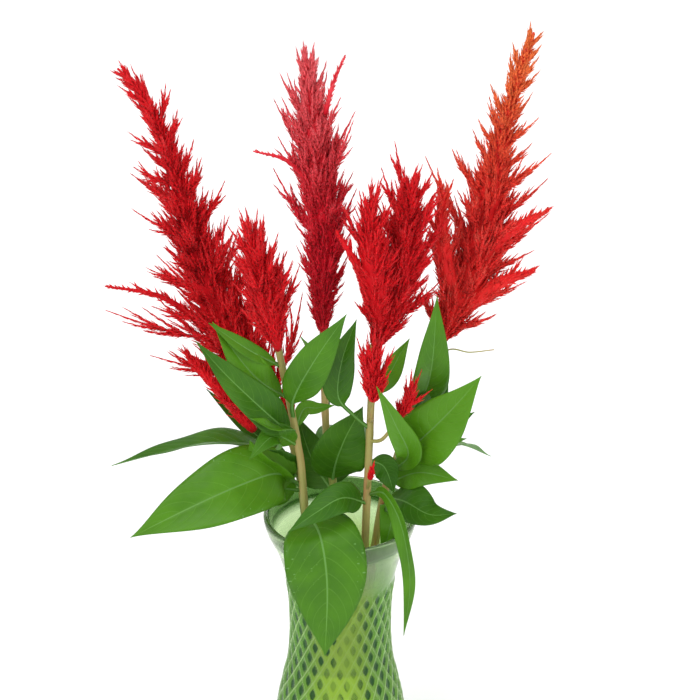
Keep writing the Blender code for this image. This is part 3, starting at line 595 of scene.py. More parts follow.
LEAVES = {
    "left": (
        leaf(54, (-0.2, -0.75, 0.6), (-29, 18, 244), (-46, -6, 268), (-72, -26, 270), (-112, -38, 256),
             (-153, -44, 236), fold=0.2),
        leaf(30, (0.0, 0.1, 1.0), (-33, 19, 262), (-60, 14, 280), (-105, 10, 284), (-170, 5, 269),
             fold=0.35, wave=0.1),
        leaf(12, (0.0, -0.6, 0.8), (-34, 19, 266), (-64, 27, 284), (-100, 38, 316), fold=0.2, wave=0.0),
        leaf(36, (-0.2, -0.9, 0.3), (-31, 18, 252), (-47, 8, 266), (-66, 2, 286)),
        leaf(38, (-0.2, -0.9, 0.3), (-28, 18, 240), (-46, 6, 251), (-58, -4, 273), (-66, -8, 297)),
    ),
    "inner_left": (
        leaf(12, (0.3, -0.8, 0.5), (-41, -29, 368), (-64, -42, 388), (-90, -54, 414), fold=0.2,
             wave=0.0),
        leaf(26, (0.3, -0.8, 0.5), (-36, -25, 340), (-60, -40, 366), (-88, -48, 412), fold=0.3),
        leaf(28, (0.3, -0.8, 0.5), (-31, -20, 304), (-52, -46, 340), (-78, -58, 375), (-99, -62, 404),
             fold=0.3, wave=0.1),
        leaf(17, (-0.2, -0.5, 0.8), (-32, -21, 312), (-46, -50, 330), (-62, -66, 346), fold=0.3,
             wave=0.05),
        leaf(20, (-0.3, -0.8, 0.5), (-31, -20, 300), (-47, -44, 320), (-64, -60, 310), fold=0.2,
             wave=0.06),
        leaf(29, (0.1, -0.9, 0.35), (-33, -22, 320), (-33, -34, 344), (-18, -48, 381), (5, -57, 422),
             fold=0.2, petiole=0.2),
        leaf(11, (0.0, -0.8, 0.5), (-32, -21, 313), (-26, -14, 326), (-16, -8, 324), (-4, -4, 324),
             fold=0.2, wave=0.05),
        leaf(60, (0.0, -0.6, 0.8), (-26, -17, 237), (-20, -38, 247), (-13, -60, 242), (-9, -69, 208),
             (-11, -67, 148), fold=0.15, wave=0.07),
    ),
    "centre": (
        leaf(34, (0.0, -0.9, 0.3), (-5, 14, 240), (-21, 36, 256), (-32, 45, 289)),
        leaf(42, (0.1, -0.9, 0.3), (-6, 14, 248), (-3, 4, 272), (5, 0, 297), (17, -2, 322)),
        leaf(26, (0.0, 0.5, 0.8), (-9, 14, 300), (-14, 34, 330), (-30, 60, 350), fold=0.3),
        leaf(44, (0.0, 0.4, 0.9), (-5, 14, 236), (0, 40, 262), (8, 78, 262), (10, 104, 236), fold=0.2),
    ),
    "inner_right": (
        leaf(24, (0.15, -0.8, 0.6), (20, -18, 250), (2, -47, 271), (-17, -63, 268), (-37, -72, 257),
             fold=0.2, wave=0.03),
        leaf(23, (-0.1, -0.9, 0.35), (22, -18, 312), (9, -25, 328), (-1, -31, 346), (2, -38, 378),
             (12, -42, 411), petiole=0.3),
        leaf(16, (0.3, -0.7, 0.6), (23, -18, 338), (35, -21, 357), (43, -18, 372), (50, -14, 383),
             fold=0.3, wave=0.06),
        leaf(15, (-0.8, -0.45, 0.0), (21, -17, 257), (33, -42, 271), (45, -63, 255), (51, -69, 213),
             (47, -67, 166), fold=0.3, wave=0.1, twist=-40),
        leaf(20, (0.1, -0.9, 0.3), (21, -17, 286), (33, -9, 275), (40, -9, 254)),
    ),
    "right": (
        leaf(21, (0.0, -0.85, 0.5), (38, 13, 259), (50, -17, 290), (40, -44, 329), (26, -62, 369),
             fold=0.3),
        leaf(28, (0.1, -0.9, 0.35), (54, 17, 310), (62, -8, 338), (66, -28, 372), (68, -40, 428),
             fold=0.3),
        leaf(46, (0.1, -0.85, 0.5), (42, 14, 270), (58, -14, 300), (80, -34, 336), (100, -44, 368),
             wave=0.1),
        leaf(24, (0.2, -0.9, 0.35), (48, 15, 290), (64, 0, 318), (78, -12, 362), fold=0.3),
        leaf(20, (0.0, -0.9, 0.3), (38, 13, 258), (67, 8, 284), (94, 10, 289)),
        leaf(18, (0.1, -0.9, 0.3), (46, 15, 284), (79, 18, 294), (100, 20, 306)),
        leaf(24, (0.0, -0.8, 0.5), (36, 12, 250), (59, -4, 268), (87, -14, 267)),
        leaf(33, (0.1, -0.7, 0.7), (33, 11, 239), (48, -14, 249), (66, -33, 249), (85, -42, 255),
             fold=0.2),
        leaf(19, (0.1, -0.6, 0.8), (31, 10, 232), (38, -4, 240), (37, -18, 228), (31, -22, 208),
             wave=0.06),
        leaf(36, (0.1, 0.3, 0.9), (33, 11, 242), (60, 26, 264), (88, 44, 266), (116, 58, 248)),
    ),
}
print("leaves:", sum(len(group) for group in LEAVES.values()))

# %% Outline and veins of a leaf
LEAF_STALK_PART = 0.10
LEAF_STALK_WIDTH = 3.0
LEAF_TIP_WIDTH = 0.5
LEAF_SWELL = 0.75
LEAF_POINT = 1.3
LEAF_FOLD = 0.25
LEAF_WAVE = 0.08
LEAF_WAVES = 2.5
WAVE_SHIFT = 1.3
FLAT_STALK_PART = 0.3
BLADE_THICKNESS = 0.45
THINNEST_EDGE = 0.25
PUFF = 0.045
PUFF_ROUNDNESS = 0.6
VEIN_PAIRS = 12
VEIN_SLANT = 2.6
VEIN_CURVE = 1.45


def half_width(t, width, petiole=LEAF_STALK_PART):
    """Half the width of a leaf along its length, pointed at the tip."""
    s = np.clip((t - petiole) / (1.0 - petiole), 0.0, 1.0)
    swell = s ** LEAF_SWELL * (1.0 - s) ** LEAF_POINT
    peak_at = LEAF_SWELL / (LEAF_SWELL + LEAF_POINT)
    peak = peak_at ** LEAF_SWELL * (1.0 - peak_at) ** LEAF_POINT
    thin = LEAF_STALK_WIDTH * (1.0 - s) + LEAF_TIP_WIDTH * s
    return (thin + (width - thin) * swell / peak) / 2


def vein_phase(t, side):
    """Counts the side veins, which leave the midrib and curve towards the tip."""
    return t * VEIN_PAIRS - np.abs(side) ** VEIN_CURVE * VEIN_SLANT


# %% Bend a blade along its spine
ALONG = 74
ACROSS = 15


def blade_frame(points, facing, twist, count):
    """Centre, across and upward directions at each station of a leaf."""
    centre = smooth_path(points, count)
    along = unit(np.gradient(centre, axis=0))
    across = unit(np.cross(along, facing))
    upward = unit(np.cross(across, along))
    turn = np.radians(twist) * np.linspace(0.0, 1.0, count)[:, None]
    turned_across = across * np.cos(turn) + np.cross(along, across) * np.sin(turn)
    turned_up = upward * np.cos(turn) + np.cross(along, upward) * np.sin(turn)
    return centre, turned_across, turned_up


def blade(points, width, facing, fold=LEAF_FOLD, wave=LEAF_WAVE, twist=0.0, petiole=LEAF_STALK_PART):
    """Points, faces and stored numbers of one leaf blade."""
    centre, across, upward = blade_frame(points, facing, twist, ALONG)
    t = np.linspace(0.0, 1.0, ALONG)[:, None]
    side = np.linspace(-1.0, 1.0, ACROSS)[None]
    far = np.abs(side)
    half = half_width(t, width, petiole)
    stalk = np.minimum(1.0, t / FLAT_STALK_PART)
    shift = np.where(side > 0, WAVE_SHIFT, 0.0)
    rise = far * half * fold * stalk
    rise = rise + wave * half * far * np.sin(math.tau * LEAF_WAVES * t + shift) * stalk
    puff = np.abs(np.sin(math.pi * vein_phase(t, side))) ** PUFF_ROUNDNESS
    rise = rise + PUFF * half * puff * np.clip(far * 4, 0, 1) * np.clip((1 - far) * 5, 0, 1)
    flat = half * side * np.cos(fold * stalk)
    top = centre[:, None] + across[:, None] * flat[..., None] + upward[:, None] * rise[..., None]
    taper = np.clip((1.0 - far) * 3.0, THINNEST_EDGE, 1.0) * np.ones_like(t)
    low = top - upward[:, None] * (BLADE_THICKNESS * taper)[..., None]
    count = ALONG * ACROSS
    edge = np.concatenate([
        np.arange(ACROSS),
        np.arange(1, ALONG) * ACROSS + ACROSS - 1,
        count - 2 - np.arange(ACROSS - 1),
        np.arange(ALONG - 2, 0, -1) * ACROSS,
    ])
    following = np.roll(edge, -1)
    rim = np.stack([edge, edge + count, following + count, following], -1)
    faces = [grid_faces(ALONG, ACROSS), grid_faces(ALONG, ACROSS, count)[:, ::-1], rim]
    numbers = {
        "across": np.tile((side * np.ones_like(t)).ravel(), 2),
        "along": np.tile((t * np.ones_like(side)).ravel(), 2),
        "under": np.repeat([0.0, 1.0], count),
    }
    return np.vstack([top.reshape(-1, 3), low.reshape(-1, 3)]), faces, numbers


# %% The rib under a blade
MIDRIB_STATIONS = 40
MIDRIB_KEPT = 35
MIDRIB_SIDES = 8
MIDRIB_TIP = 0.25
MIDRIB_FOOT = 0.55
WIDTH_PER_GIRTH = 60
MIDRIB_TAPER = 1.3
MIDRIB_SUNK = 0.35
MIDRIB_GAP = 0.1


def midrib(points, width, facing, twist=0.0, **_):
    """The rib under a blade, which starts as the leaf's stalk."""
    centre, _, upward = blade_frame(points, facing, twist, MIDRIB_STATIONS)
    t = np.linspace(0.0, 1.0, MIDRIB_STATIONS)[:MIDRIB_KEPT]
    girth = MIDRIB_FOOT + width / WIDTH_PER_GIRTH
    radii = MIDRIB_TIP + girth * (1.0 - t / t[-1]) ** MIDRIB_TAPER
    under = (MIDRIB_SUNK * radii + MIDRIB_GAP)[:, None]
    path = centre[:MIDRIB_KEPT] - upward[:MIDRIB_KEPT] * under
    return tube(path, radii, MIDRIB_SIDES)


# %% One piece of leaves for each shoot
MIDRIB_NUMBERS = {"across": 0.0, "along": 0.5, "under": 1.0}


def make_leaves(name, settings, seed):
    """All leaves of one shoot as one piece."""
    draw = np.random.default_rng(seed)
    parts = []
    stored = {"across": [], "along": [], "under": [], "tone": []}
    for entry in settings:
        tone = draw.uniform(0.0, 1.0)
        points, faces, numbers = blade(**entry)
        parts.append((points, faces))
        parts.append(midrib(**entry))
        rib_count = MIDRIB_KEPT * MIDRIB_SIDES
        for key, values in numbers.items():
            stored[key] += [values, np.full(rib_count, MIDRIB_NUMBERS[key])]
        stored["tone"].append(np.full(len(points) + rib_count, tone))
    points, faces = join_parts(parts)
    obj = build_mesh("leaves_" + name, points, faces)
    for key, values in stored.items():
        paint(obj, key, np.concatenate(values))
    return obj


# %% [markdown]
# The veins are drawn from the same two numbers that shaped the blade: how far
# along and how far across a point lies. So colour and relief agree everywhere,
# and no image is needed.

# %% Leaf finish
LEAF_BRIGHT = (0.078, 0.235, 0.006)
LEAF_DEEP = (0.026, 0.105, 0.004)
LEAF_VEIN = (0.13, 0.32, 0.035)
LEAF_UNDER = (0.12, 0.28, 0.06)


def make_leaf_finish():
    """Green blades with paler veins and a pale underside."""
    skin = Finish("celosia_leaf")
    across = skin.math("ABSOLUTE", skin.stored("across"))
    slant = skin.times(skin.math("POWER", across, VEIN_CURVE), VEIN_SLANT)
    phase = skin.math("SUBTRACT", skin.times(skin.stored("along"), float(VEIN_PAIRS)), slant)
    wave = skin.math("ABSOLUTE", skin.math("SINE", skin.times(phase, math.pi)))
    side_vein = skin.math("SUBTRACT", 1.0, skin.ramp(wave, 0.0, 0.2))
    middle = skin.math("SUBTRACT", 1.0, skin.ramp(across, 0.008, 0.04))
    vein = skin.math("MAXIMUM", skin.times(middle, 0.8), skin.times(side_vein, 0.3))
    patch = skin.noise(45.0, 4.0)
    tone = skin.math("ADD", skin.times(skin.stored("tone"), 0.6), skin.times(patch, 0.5))
    green = skin.mix(skin.ramp(tone, 0.15, 0.85), LEAF_DEEP, LEAF_BRIGHT)
    top = skin.mix(vein, green, LEAF_VEIN)
    colour = skin.mix(skin.stored("under"), top, LEAF_UNDER)
    skin.set(Base_Color=colour, Roughness=skin.spread(patch, 0.34, 0.5), Specular_IOR_Level=0.2)
    grain = skin.noise(900.0, 3.0)
    height = skin.math("SUBTRACT", skin.times(grain, 0.25), skin.times(side_vein, 0.5))
    skin.bump(height, 0.5, 0.0004)
    return skin.material


leaf_finish = make_leaf_finish()
for seed, (name, settings) in enumerate(LEAVES.items()):
    dress(make_leaves(name, settings, seed), leaf_finish, "shoot_" + name)

# %% [markdown]
# ## The plumes
#
# A plume is a spike of many pointed branchlets, and each branchlet is covered
# with narrow silky scales. Modelling it as it grows gives the right look from
# every side: the rule that set the branchlets of the solid is run again on every
# lobe, each branchlet gets smaller ones at its sides, short fat tufts clothe the
# core, and all of them get scales that point forward and a little out. A short
# spray gets smaller scales than a long one, so that its end stays a fine point.
# A scale is a keeled sliver of four faces, which is closed, cheap and
# catches the light like a hair.

# %% Places and sizes of the plumes
GOLDEN_ANGLE = math.radians(137.508)
UP = Vector((0.0, 0.0, 1.0))


def lobe(count, seed, core, reach, *points, **others):
    """One lobe: branchlets, seed, core and reach from foot to tip, places along its axis."""
    return dict(count=count, seed=seed, core=core, reach=reach, points=points, **others)


PLUMES = {
    "left": (
        lobe(56, 1, (3, 11, 14, 12, 8, 4.5, 2.6, 0.8), (30, 60, 62, 52, 44, 33, 24, 7), (-38, 20, 285),
             (-60, 22, 327), (-82, 25, 371), (-99, 27, 418), (-111, 28, 469), (-122, 29, 510),
             (-136, 30, 548), (-154, 30, 570), rise=-0.1, spread=1.5),
        lobe(12, 11, (4, 5, 1), (16, 20, 12), (-64, 14, 294), (-89, 6, 333), (-111, 2, 362),
             spread=0.8),
        lobe(7, 12, (3, 2, 0.6), (14, 12, 5), (-96, 20, 376), (-129, 12, 404), (-168, 8, 414),
             spread=0.5, rise=0.1),
    ),
    "inner_left": (
        lobe(28, 2, (3, 9, 8, 1.5), (24, 38, 34, 16), (-43, -31, 382), (-49, -35, 412), (-54, -38, 443),
             (-61, -39, 474), bare=12.0, spread=1.1),
    ),
    "centre": (
        lobe(46, 3, (3, 8, 10, 10, 7, 1), (18, 34, 44, 44, 32, 12), (-12, 15, 372), (-12, 18, 406),
             (-11, 22, 444), (-15, 24, 489), (-19, 24, 534), (-23, 24, 580), spread=1.1),
        lobe(5, 31, (2, 1.4, 0.5), (9, 7, 4), (-10, 20, 540), (-4, 17, 564), (4, 14, 584), spread=0.5),
        lobe(5, 32, (2, 1.4, 0.5), (9, 6, 3), (-22, 21, 490), (-38, 15, 508), (-60, 11, 516),
             spread=0.4, rise=0.1),
    ),
    "inner_right": (
        lobe(36, 4, (3, 10, 11, 8, 1.5), (34, 40, 42, 36, 18), (24, -18, 376), (33, -15, 396),
             (42, -14, 430), (47, -14, 467), (50, -14, 500)),
        lobe(24, 41, (5, 9, 8, 1.5), (20, 30, 30, 16), (28, -20, 394), (25, -32, 430), (22, -38, 468),
             (22, -40, 498), spread=1.1),
        lobe(7, 42, (4, 3, 0.6), (14, 12, 5), (24, -33, 424), (10, -40, 456), (-2, -43, 478),
             spread=0.6),
    ),
    "right": (
        lobe(48, 5, (3, 11, 12, 9, 5, 2.6, 0.8), (34, 48, 52, 36, 27, 20, 8), (73, 22, 360),
             (87, 24, 396), (101, 26, 434), (108, 27, 480), (116, 27, 526), (123, 27, 559),
             (134, 27, 597), rise=0.1, spread=1.5),
        lobe(14, 51, (6, 7, 1.5), (20, 24, 14), (84, 20, 396), (73, 13, 444), (73, 10, 486),
             spread=1.0),
        lobe(9, 52, (7, 5, 0.8), (20, 18, 6), (91, 22, 393), (117, 14, 415), (140, 9, 426), spread=0.7,
             rise=0.2),
        lobe(8, 53, (7, 4, 0.8), (20, 16, 6), (102, 24, 430), (125, 16, 456), (148, 12, 471),
             spread=0.7, rise=0.2),
    ),
    "side_forked": (
        lobe(13, 6, (3, 4, 1.5), (22, 29, 27), (24.2, -48.6, 351), (24, -52, 366), (23, -54, 380),
             spread=0.7, bare=3.0),
    ),
    "side_loose": (
        lobe(9, 7, (1.8, 1.8, 1), (13, 19, 20), (42.3, -36.2, 330.6), (47, -38, 340), (51, -39, 350),
             spread=1.0, bare=2.0),
    ),
    "bud_low": (
        lobe(5, 8, (1.8, 1.8, 1), (5, 6, 6), (22.1, -27.2, 275.6), (23, -28, 280), (23.4, -28.5, 284),
             spread=0.7, bare=1.0),
    ),
}
print("lobes:", sum(len(lobes) for lobes in PLUMES.values()))


# %% The rule that sets each branchlet
AXIS_START = 0.02
AXIS_PART = 0.96
CROWDING = 0.92
TURN_SHARE = 0.3
LENGTH_SHARE = (0.74, 1.08)
SPIKE_EVERY = 9
SPIKE_STRETCH = 1.3
LEAN_LOST = 0.75
LEAN_SHARE = (0.85, 1.15)
HEAD_RISE = 0.5
BEND_ALONG = 0.4
BEND_SHARE = (0.15, 0.32)
SUNK_PART = 0.7


def table_value(table, t):
    """What an even table says at parts of its length."""
    return np.interp(t * (len(table) - 1), range(len(table)), table)


def axis_frame(axis, t, angle):
    """A place on an axis, the way along it, and a way out of it at an angle."""
    place = t * (len(axis) - 1)
    index = min(int(place), len(axis) - 2)
    root = axis[index].lerp(axis[index + 1], place - index)
    along = (axis[index + 1] - axis[index]).normalized()
    sideways = along.cross(Vector((0.0, 1.0, 0.0))).normalized()
    return root, along, Matrix.Rotation(angle, 3, along) @ sideways


def branchlet_rule(axis, core, reach, number, count, seed, rise, spread):
    """Root, heading, bend and length of a branchlet, by the golden angle up the axis."""
    draw = random.Random(seed * 1000 + number)
    t = AXIS_START + AXIS_PART * ((number + 0.5) / count) ** CROWDING
    angle = number * GOLDEN_ANGLE + draw.uniform(-TURN_SHARE, TURN_SHARE)
    root, along, outward = axis_frame(axis, t, angle)
    length = table_value(reach, t) * draw.uniform(*LENGTH_SHARE)
    if number % SPIKE_EVERY == SPIKE_EVERY // 2:
        length *= SPIKE_STRETCH
    lean = spread * (1.0 - LEAN_LOST * t ** 3) * draw.uniform(*LEAN_SHARE)
    heading = (along + outward * lean + UP * rise * HEAD_RISE).normalized()
    bend = (along * BEND_ALONG + UP * rise).normalized() * draw.uniform(*BEND_SHARE)
    sunk = table_value(core, t) * SUNK_PART
    return root + heading * sunk, heading, bend, length - sunk


# %% Branchlets of a plume as curves
SPINE_POINTS = 7
AXIS_POINTS = 40
SIDE_BRANCHLETS = 10
SIDE_AT = (0.02, 0.58)
SIDE_SCATTER = 0.48
SIDE_LIFT = 0.2
SIDE_SIZE = (0.32, 0.56)
SIDE_SIZE_LOST = 0.4
SIDE_BEND = 0.8
SIDE_GIRTH = 0.7
TUFTS = 10
TUFT_TURN = 0.7
TUFT_SLANT = (0.35, 0.95)
TUFT_SCATTER = 0.2
TUFT_SUNK = 0.75
TUFT_SIZE = (0.30, 0.55)
TUFT_SIZE_LOST = 0.35
TUFT_BEND = 0.2
TUFT_GIRTH = 0.85
# Painted light at the start of tufts and branchlets: low values are painted shade
TUFT_LIGHT_START = (0.0, 0.4)
BRANCHLET_LIGHT_START = 0.2
RISE = 0.6
SPREAD = 1.3
BARE = 8.0
BARE_TUFTS_PART = 0.6


def spine_curve(root, heading, bend, length):
    """Points along a bent branchlet."""
    s = np.linspace(0.0, 1.0, SPINE_POINTS)[:, None]
    return np.array(root) + (np.array(heading) * s + np.array(bend) * s ** 2) * length


def side_spines(root, heading, bend, length, draw):
    """Smaller branchlets that leave a branchlet all along it."""
    spines = []
    head, turned, lift = np.array(heading), np.array(bend), np.array(UP) * SIDE_LIFT
    for _ in range(SIDE_BRANCHLETS):
        at = draw.uniform(*SIDE_AT)
        start = np.array(root) + (head * at + turned * at ** 2) * length
        way = unit(head + SIDE_SCATTER * unit(draw.normal(size=3)) + lift)
        size = length * draw.uniform(*SIDE_SIZE) * (1.0 - SIDE_SIZE_LOST * at)
        spine = spine_curve(start, way, turned * SIDE_BEND, size)
        # Painted shade: a side branchlet starts darker the nearer it leaves to the foot of its branchlet
        spines.append((spine, SIDE_GIRTH, 0.25 + 0.75 * at))
    return spines


def tuft_spines(axis, core, reach, count, rise, draw):
    """Short fat tufts that clothe the core."""
    spines = []
    for number in range(count * TUFTS):
        t = AXIS_START + AXIS_PART * (number + 0.5) / (count * TUFTS)
        root, along, outward = axis_frame(axis, t, number * GOLDEN_ANGLE + TUFT_TURN)
        slant = draw.uniform(*TUFT_SLANT)
        way = np.array(along + outward * slant + UP * rise * HEAD_RISE)
        way = unit(way + TUFT_SCATTER * draw.normal(size=3))
        start = np.array(root + outward * table_value(core, t) * TUFT_SUNK)
        size = table_value(reach, t) * draw.uniform(*TUFT_SIZE) * (1.0 - TUFT_SIZE_LOST * t)
        spine = spine_curve(start, way, np.array(UP) * TUFT_BEND, size)
        # Painted shade: tufts start dark, as they sit deep in the plume
        spines.append((spine, TUFT_GIRTH, draw.uniform(*TUFT_LIGHT_START)))
    return spines


def plume_spines(points, core, reach, count, seed, rise=RISE, spread=SPREAD, bare=BARE):
    """Spines of all branchlets of a lobe, each with its girth and the painted light at its start."""
    axis = [Vector(place) for place in smooth_path(points, AXIS_POINTS)]
    draw = np.random.default_rng(seed)
    spines = tuft_spines(axis, core, reach, count, rise, draw)
    for number in range(count):
        rule = branchlet_rule(axis, core, reach, number, count, seed, rise, spread)
        if (rule[0] - axis[0]).length < bare:
            continue
        spines.append((spine_curve(*rule), 1.0, BRANCHLET_LIGHT_START))
        spines += side_spines(*rule, draw)
    foot, clear = np.array(axis[0]), bare * BARE_TUFTS_PART
    return [entry for entry in spines if np.linalg.norm(entry[0][0] - foot) > clear]


# %% Scales along every branchlet
SCALE_STEP = 1.0
SCALE_LENGTH = 8.0
SCALE_WIDTH = 1.9
BODY_GIRTH = 1.7
FINEST_SCALE = 0.5
FULL_SCALE_SPINE = 16.0
SCALE_GUIDE = (0.21, 0.93, 0.3)
BODY_TAPER = 0.8
SCALE_TILT = 0.24
TILT_SHARE = (0.4, 1.6)
SIZE_SHARE = (0.7, 1.25)
SIZE_LOST = 0.35
WIDTH_LOST = 0.62
PAINTED_LIGHT_SCATTER = 0.12
WAIST_AT = 0.38
TIP_LIFT = 0.06


def scales_on(spine, girth, light_start, size_factor, draw):
    """Root, direction, length, width and painted shading of the scales on one branchlet."""
    steps = np.diff(spine, axis=0)
    length = np.linalg.norm(steps, axis=1).sum()
    size_factor *= min(1.0, max(FINEST_SCALE, length / FULL_SCALE_SPINE))
    count = max(5, int(length / (SCALE_STEP * size_factor)))
    s = (np.arange(count) + 0.5) / count
    place = s * (len(spine) - 1)
    index = np.minimum(place.astype(int), len(spine) - 2)
    part = (place - index)[:, None]
    root = spine[index] * (1 - part) + spine[index + 1] * part
    along = unit(steps[index])
    sideways = unit(np.cross(along, SCALE_GUIDE))
    other = np.cross(along, sideways)
    angle = np.arange(count) * GOLDEN_ANGLE + draw.uniform(0, math.tau)
    outward = sideways * np.cos(angle)[:, None] + other * np.sin(angle)[:, None]
    swell = 0.4 + 0.6 * np.sin(math.pi * (s * 0.85 + 0.1))
    body = BODY_GIRTH * girth * size_factor * swell * (1 - s) ** BODY_TAPER
    tilt = SCALE_TILT * (1 - s) * draw.uniform(*TILT_SHARE, count)
    way = unit(along + outward * tilt[:, None])
    size = SCALE_LENGTH * size_factor * (0.6 + 0.4 * girth) * (1.0 - SIZE_LOST * s)
    size = size * draw.uniform(*SIZE_SHARE, count)
    wide = SCALE_WIDTH * size_factor * (0.7 + 0.3 * girth) * (1.0 - WIDTH_LOST * s)
    # Painted shade and highlight: darker deep in the plume and at a branchlet's foot, brighter further
    # out and towards its tip
    painted_light = 0.18 + 0.45 * light_start + 0.40 * s + draw.normal(0, PAINTED_LIGHT_SCATTER, count)
    painted_light = np.clip(painted_light, 0, 1)
    return root + outward * (body * 0.8)[:, None], way, outward, size, wide, painted_light


def scale_swarm(root, way, outward, size, wide, painted_light):
    """Pointed keeled scales, all at once: root, two sides and tip."""
    across = unit(np.cross(way, outward))
    over = np.cross(across, way)
    half = (wide * 0.5)[:, None]
    waist = root + way * (size * WAIST_AT)[:, None] + over * half * 0.5
    tip = root + way * size[:, None] + over * (size * TIP_LIFT)[:, None]
    points = np.stack([root, waist + across * half, waist - across * half, tip], 1)
    base = (np.arange(len(root)) * 4)[:, None]
    pattern = np.array([[0, 1, 2], [1, 3, 2], [0, 3, 1], [0, 2, 3]])
    faces = (base[:, :, None] + pattern[None]).reshape(-1, 3)
    # Painted shade at the root of each scale, painted highlight at its tip
    painted_lights = np.stack([painted_light * 0.75, painted_light, painted_light, np.clip(painted_light + 0.2, 0, 1)], 1)
    return points.reshape(-1, 3), faces, painted_lights.ravel()


# %% Put a plume together
CORE_ROWS = 24
CORE_SIDES = 12
CORE_SHARE = 0.95
CORE_PAINTED_LIGHT = 0.15
ROD_SIDES = 3
ROD_TIP = 0.12
SCALE_BASE = 0.3
SCALE_REACH = 48.0


def plume_lobe(shape, draw):
    """Parts and shades of one lobe: its core, its rods and the arrays of its scales."""
    path = smooth_path(shape["points"], CORE_ROWS)
    t = np.linspace(0.0, 1.0, CORE_ROWS)
    core = table_value(shape["core"], t) * np.clip(t * 6 + 0.8, 0, 1) * CORE_SHARE
    parts = [tube(path, core, CORE_SIDES)]
    # Painted shade: the core is the darkest part
    painted_lights = [np.full(CORE_ROWS * CORE_SIDES, CORE_PAINTED_LIGHT)]
    swarms = []
    size_factor = min(1.0, SCALE_BASE + max(shape["reach"]) / SCALE_REACH)
    s = np.linspace(0.0, 1.0, SPINE_POINTS)[::2]
    for spine, girth, light_start in plume_spines(**shape):
        radii = (ROD_TIP + BODY_GIRTH * girth * (1 - s) ** BODY_TAPER) * size_factor
        parts.append(tube(spine[::2], radii, ROD_SIDES))
        # Painted shade on the rods: darker deep in the plume, brighter further out
        painted_lights.append(np.repeat(np.clip(0.15 + 0.4 * light_start + 0.4 * s, 0, 1), ROD_SIDES))
        swarms.append(scales_on(spine, girth, light_start, size_factor, draw))
    return parts, painted_lights, swarms


def make_plume(name, lobes, seed):
    """All lobes of a plume, with their scales, as one piece."""
    draw = np.random.default_rng(seed + 100)
    parts, painted_lights, swarms = [], [], []
    for shape in lobes:
        for whole, found in zip((parts, painted_lights, swarms), plume_lobe(shape, draw)):
            whole += found
    joined = [np.concatenate(column) for column in zip(*swarms)]
    scale_points, scale_faces, scale_painted_lights = scale_swarm(*joined)
    parts.append((scale_points, [scale_faces]))
    painted_lights.append(scale_painted_lights)
    all_points, faces = join_parts(parts)
    piece = build_mesh(name, all_points, faces)
    paint(piece, "painted_light", np.concatenate(painted_lights))
    low, high = all_points[:, 2].min(), all_points[:, 2].max()
    paint(piece, "height", (all_points[:, 2] - low) / (high - low))
    print(name, "scales:", len(joined[0]))
    return piece


# %% [markdown]
# The scales are silky. Their light and shade are painted into the colour:
# painted shade makes them darker crimson deep in the plume, they are bright red
# outside, and painted highlights make them a little pink on the tips. One plume
# turns orange towards its top. The painted light and shade stored on the mesh
# steers this, so the colour follows the form. A plume that isn't named below is
# crimson.

# %% Plume finish
# Painted-shade, bright and painted-highlight tip colours, then the colour of the top and where it begins
SILKS = {
    "crimson": ((0.46, 0.003, 0.008), (0.90, 0.013, 0.022), (0.95, 0.085, 0.085)),
    "rosy": ((0.54, 0.005, 0.018), (0.90, 0.018, 0.042), (1.0, 0.15, 0.17), (1.0, 0.18, 0.20), 0.35),
    "orange": ((0.64, 0.010, 0.014), (0.98, 0.045, 0.040), (1.0, 0.22, 0.14), (1.0, 0.28, 0.07), 0.38),
}
SILK_OF = {"centre": "rosy", "right": "orange"}
SHEEN_PINK = (1.0, 0.45, 0.4)


def make_plume_finish(name, shaded_colour, bright, tip, top=None, top_from=0.0):
    """Silky red scales with painted shading and painted pink highlights, and a second colour towards the
    top if there is one.
    """
    silk = Finish(name)
    patch = silk.noise(28.0, 3.0)
    change = silk.times(silk.math("SUBTRACT", patch, 0.5), 0.7)
    painted_light = silk.math("ADD", silk.stored("painted_light"), change)
    # Painted shade gives deep crimson, then bright red, then painted pink highlights on the brightest
    # parts
    red = silk.mix(silk.ramp(painted_light, 0.0, 0.5), shaded_colour, bright)
    red = silk.mix(silk.times(silk.ramp(painted_light, 0.62, 1.15), 0.7), red, tip)
    if top is not None:
        turn = silk.times(silk.ramp(silk.stored("height"), top_from, 1.0), 0.85)
        red = silk.mix(silk.times(turn, silk.ramp(painted_light, 0.0, 0.5)), red, top)
    silk.set(Base_Color=red, Roughness=0.55, Specular_IOR_Level=0.12, Sheen_Weight=0.1)
    silk.set(Sheen_Roughness=0.4, Sheen_Tint=SHEEN_PINK)
    silk.bump(silk.noise(1500.0, 2.0), 0.15, 0.0003)
    return silk.material


silks = {name: make_plume_finish(name + "_silk", *colours) for name, colours in SILKS.items()}

# %% Plume pieces
for seed, (name, lobes) in enumerate(PLUMES.items()):
    node = name if name == "bud_low" else "plume_" + name
    piece = make_plume(node + "_silk", lobes, seed)
    dress(piece, silks[SILK_OF.get(name, "crimson")], node)

# %% [markdown]
# ## Floor, light and camera
#
# The photograph has a white ground and very soft light. A wide pale floor, a
# bright even sky and three large lamps give the same, with enough direction to
# model the plumes. The camera looks down on the flowers by 26 degrees, and its
# frame cuts the foot of the vase as the photograph does.

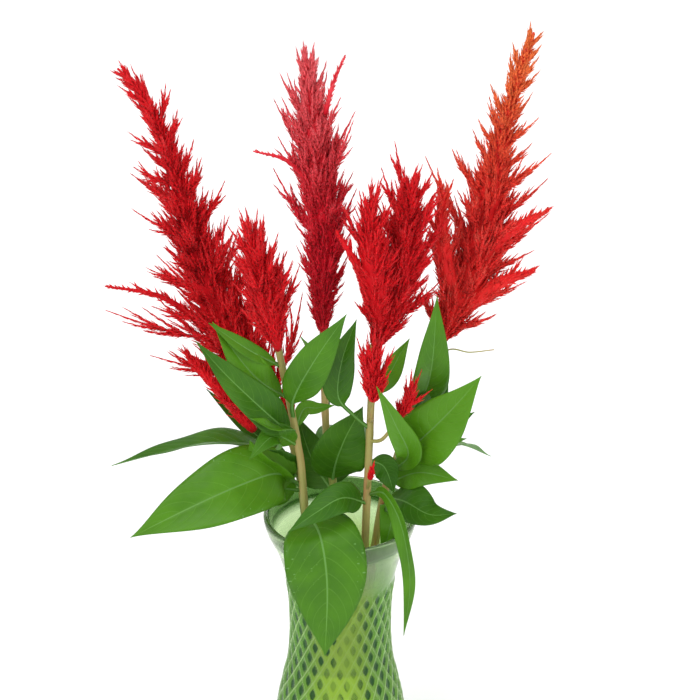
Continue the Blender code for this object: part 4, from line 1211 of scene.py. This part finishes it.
# %% Pale floor
FLOOR_SIZE = 14.0
FLOOR_DROP = 0.0006
FLOOR_GREY = (0.93, 0.93, 0.93)
FLOOR_WHITE = (0.96, 0.96, 0.96)
bpy.ops.mesh.primitive_plane_add(size=FLOOR_SIZE, location=(0.0, 0.0, -FLOOR_DROP))
floor = bpy.context.active_object
floor.name = "pale_floor"
ground = Finish("pale_floor_finish")
speckle = ground.noise(3.0, 2.0)
ground.set(Base_Color=ground.mix(speckle, FLOOR_GREY, FLOOR_WHITE), Roughness=0.7)
floor.data.materials.append(ground.material)

# %% Sky and lamps
SKY_STRENGTH = 0.95
LAMP_AIM = (0.0, 0.0, 0.35)
scene = bpy.context.scene
scene.view_settings.view_transform = "Standard"
world = bpy.data.worlds.new("even_sky")
scene.world = world
world.use_nodes = True
sky = world.node_tree.nodes["Background"].inputs
sky["Color"].default_value = (1.0, 1.0, 1.0, 1.0)
sky["Strength"].default_value = SKY_STRENGTH


def soft_lamp(name, place, size, power):
    """A large square lamp that looks at the middle of the flowers."""
    lamp = bpy.data.lights.new(name, "AREA")
    lamp.size = size
    lamp.energy = power
    obj = bpy.data.objects.new(name, lamp)
    scene.collection.objects.link(obj)
    obj.location = place
    aim = Vector(LAMP_AIM) - Vector(place)
    obj.rotation_euler = aim.to_track_quat("-Z", "Y").to_euler()


soft_lamp("key_lamp", (-1.3, -1.6, 2.3), 1.4, 30.0)
soft_lamp("fill_lamp", (1.8, -1.2, 1.2), 1.6, 12.0)
soft_lamp("back_lamp", (0.4, 1.9, 1.6), 1.4, 12.0)

# %% Camera
CAMERA_PLACE = (0.0075, -1.429, 1.064)
CAMERA_TILT = 64.0
SENSOR = 36.0
PHOTO_PIXELS = 700.0
FOCAL_PIXELS = 2200.0
camera = bpy.data.cameras.new("photo_camera")
camera.sensor_width = SENSOR
camera.lens = SENSOR * FOCAL_PIXELS / PHOTO_PIXELS
camera_object = bpy.data.objects.new("photo_camera", camera)
scene.collection.objects.link(camera_object)
camera_object.location = CAMERA_PLACE
camera_object.rotation_euler = (math.radians(CAMERA_TILT), 0.0, 0.0)
scene.camera = camera_object
print("focal length:", round(camera.lens, 1), "mm")
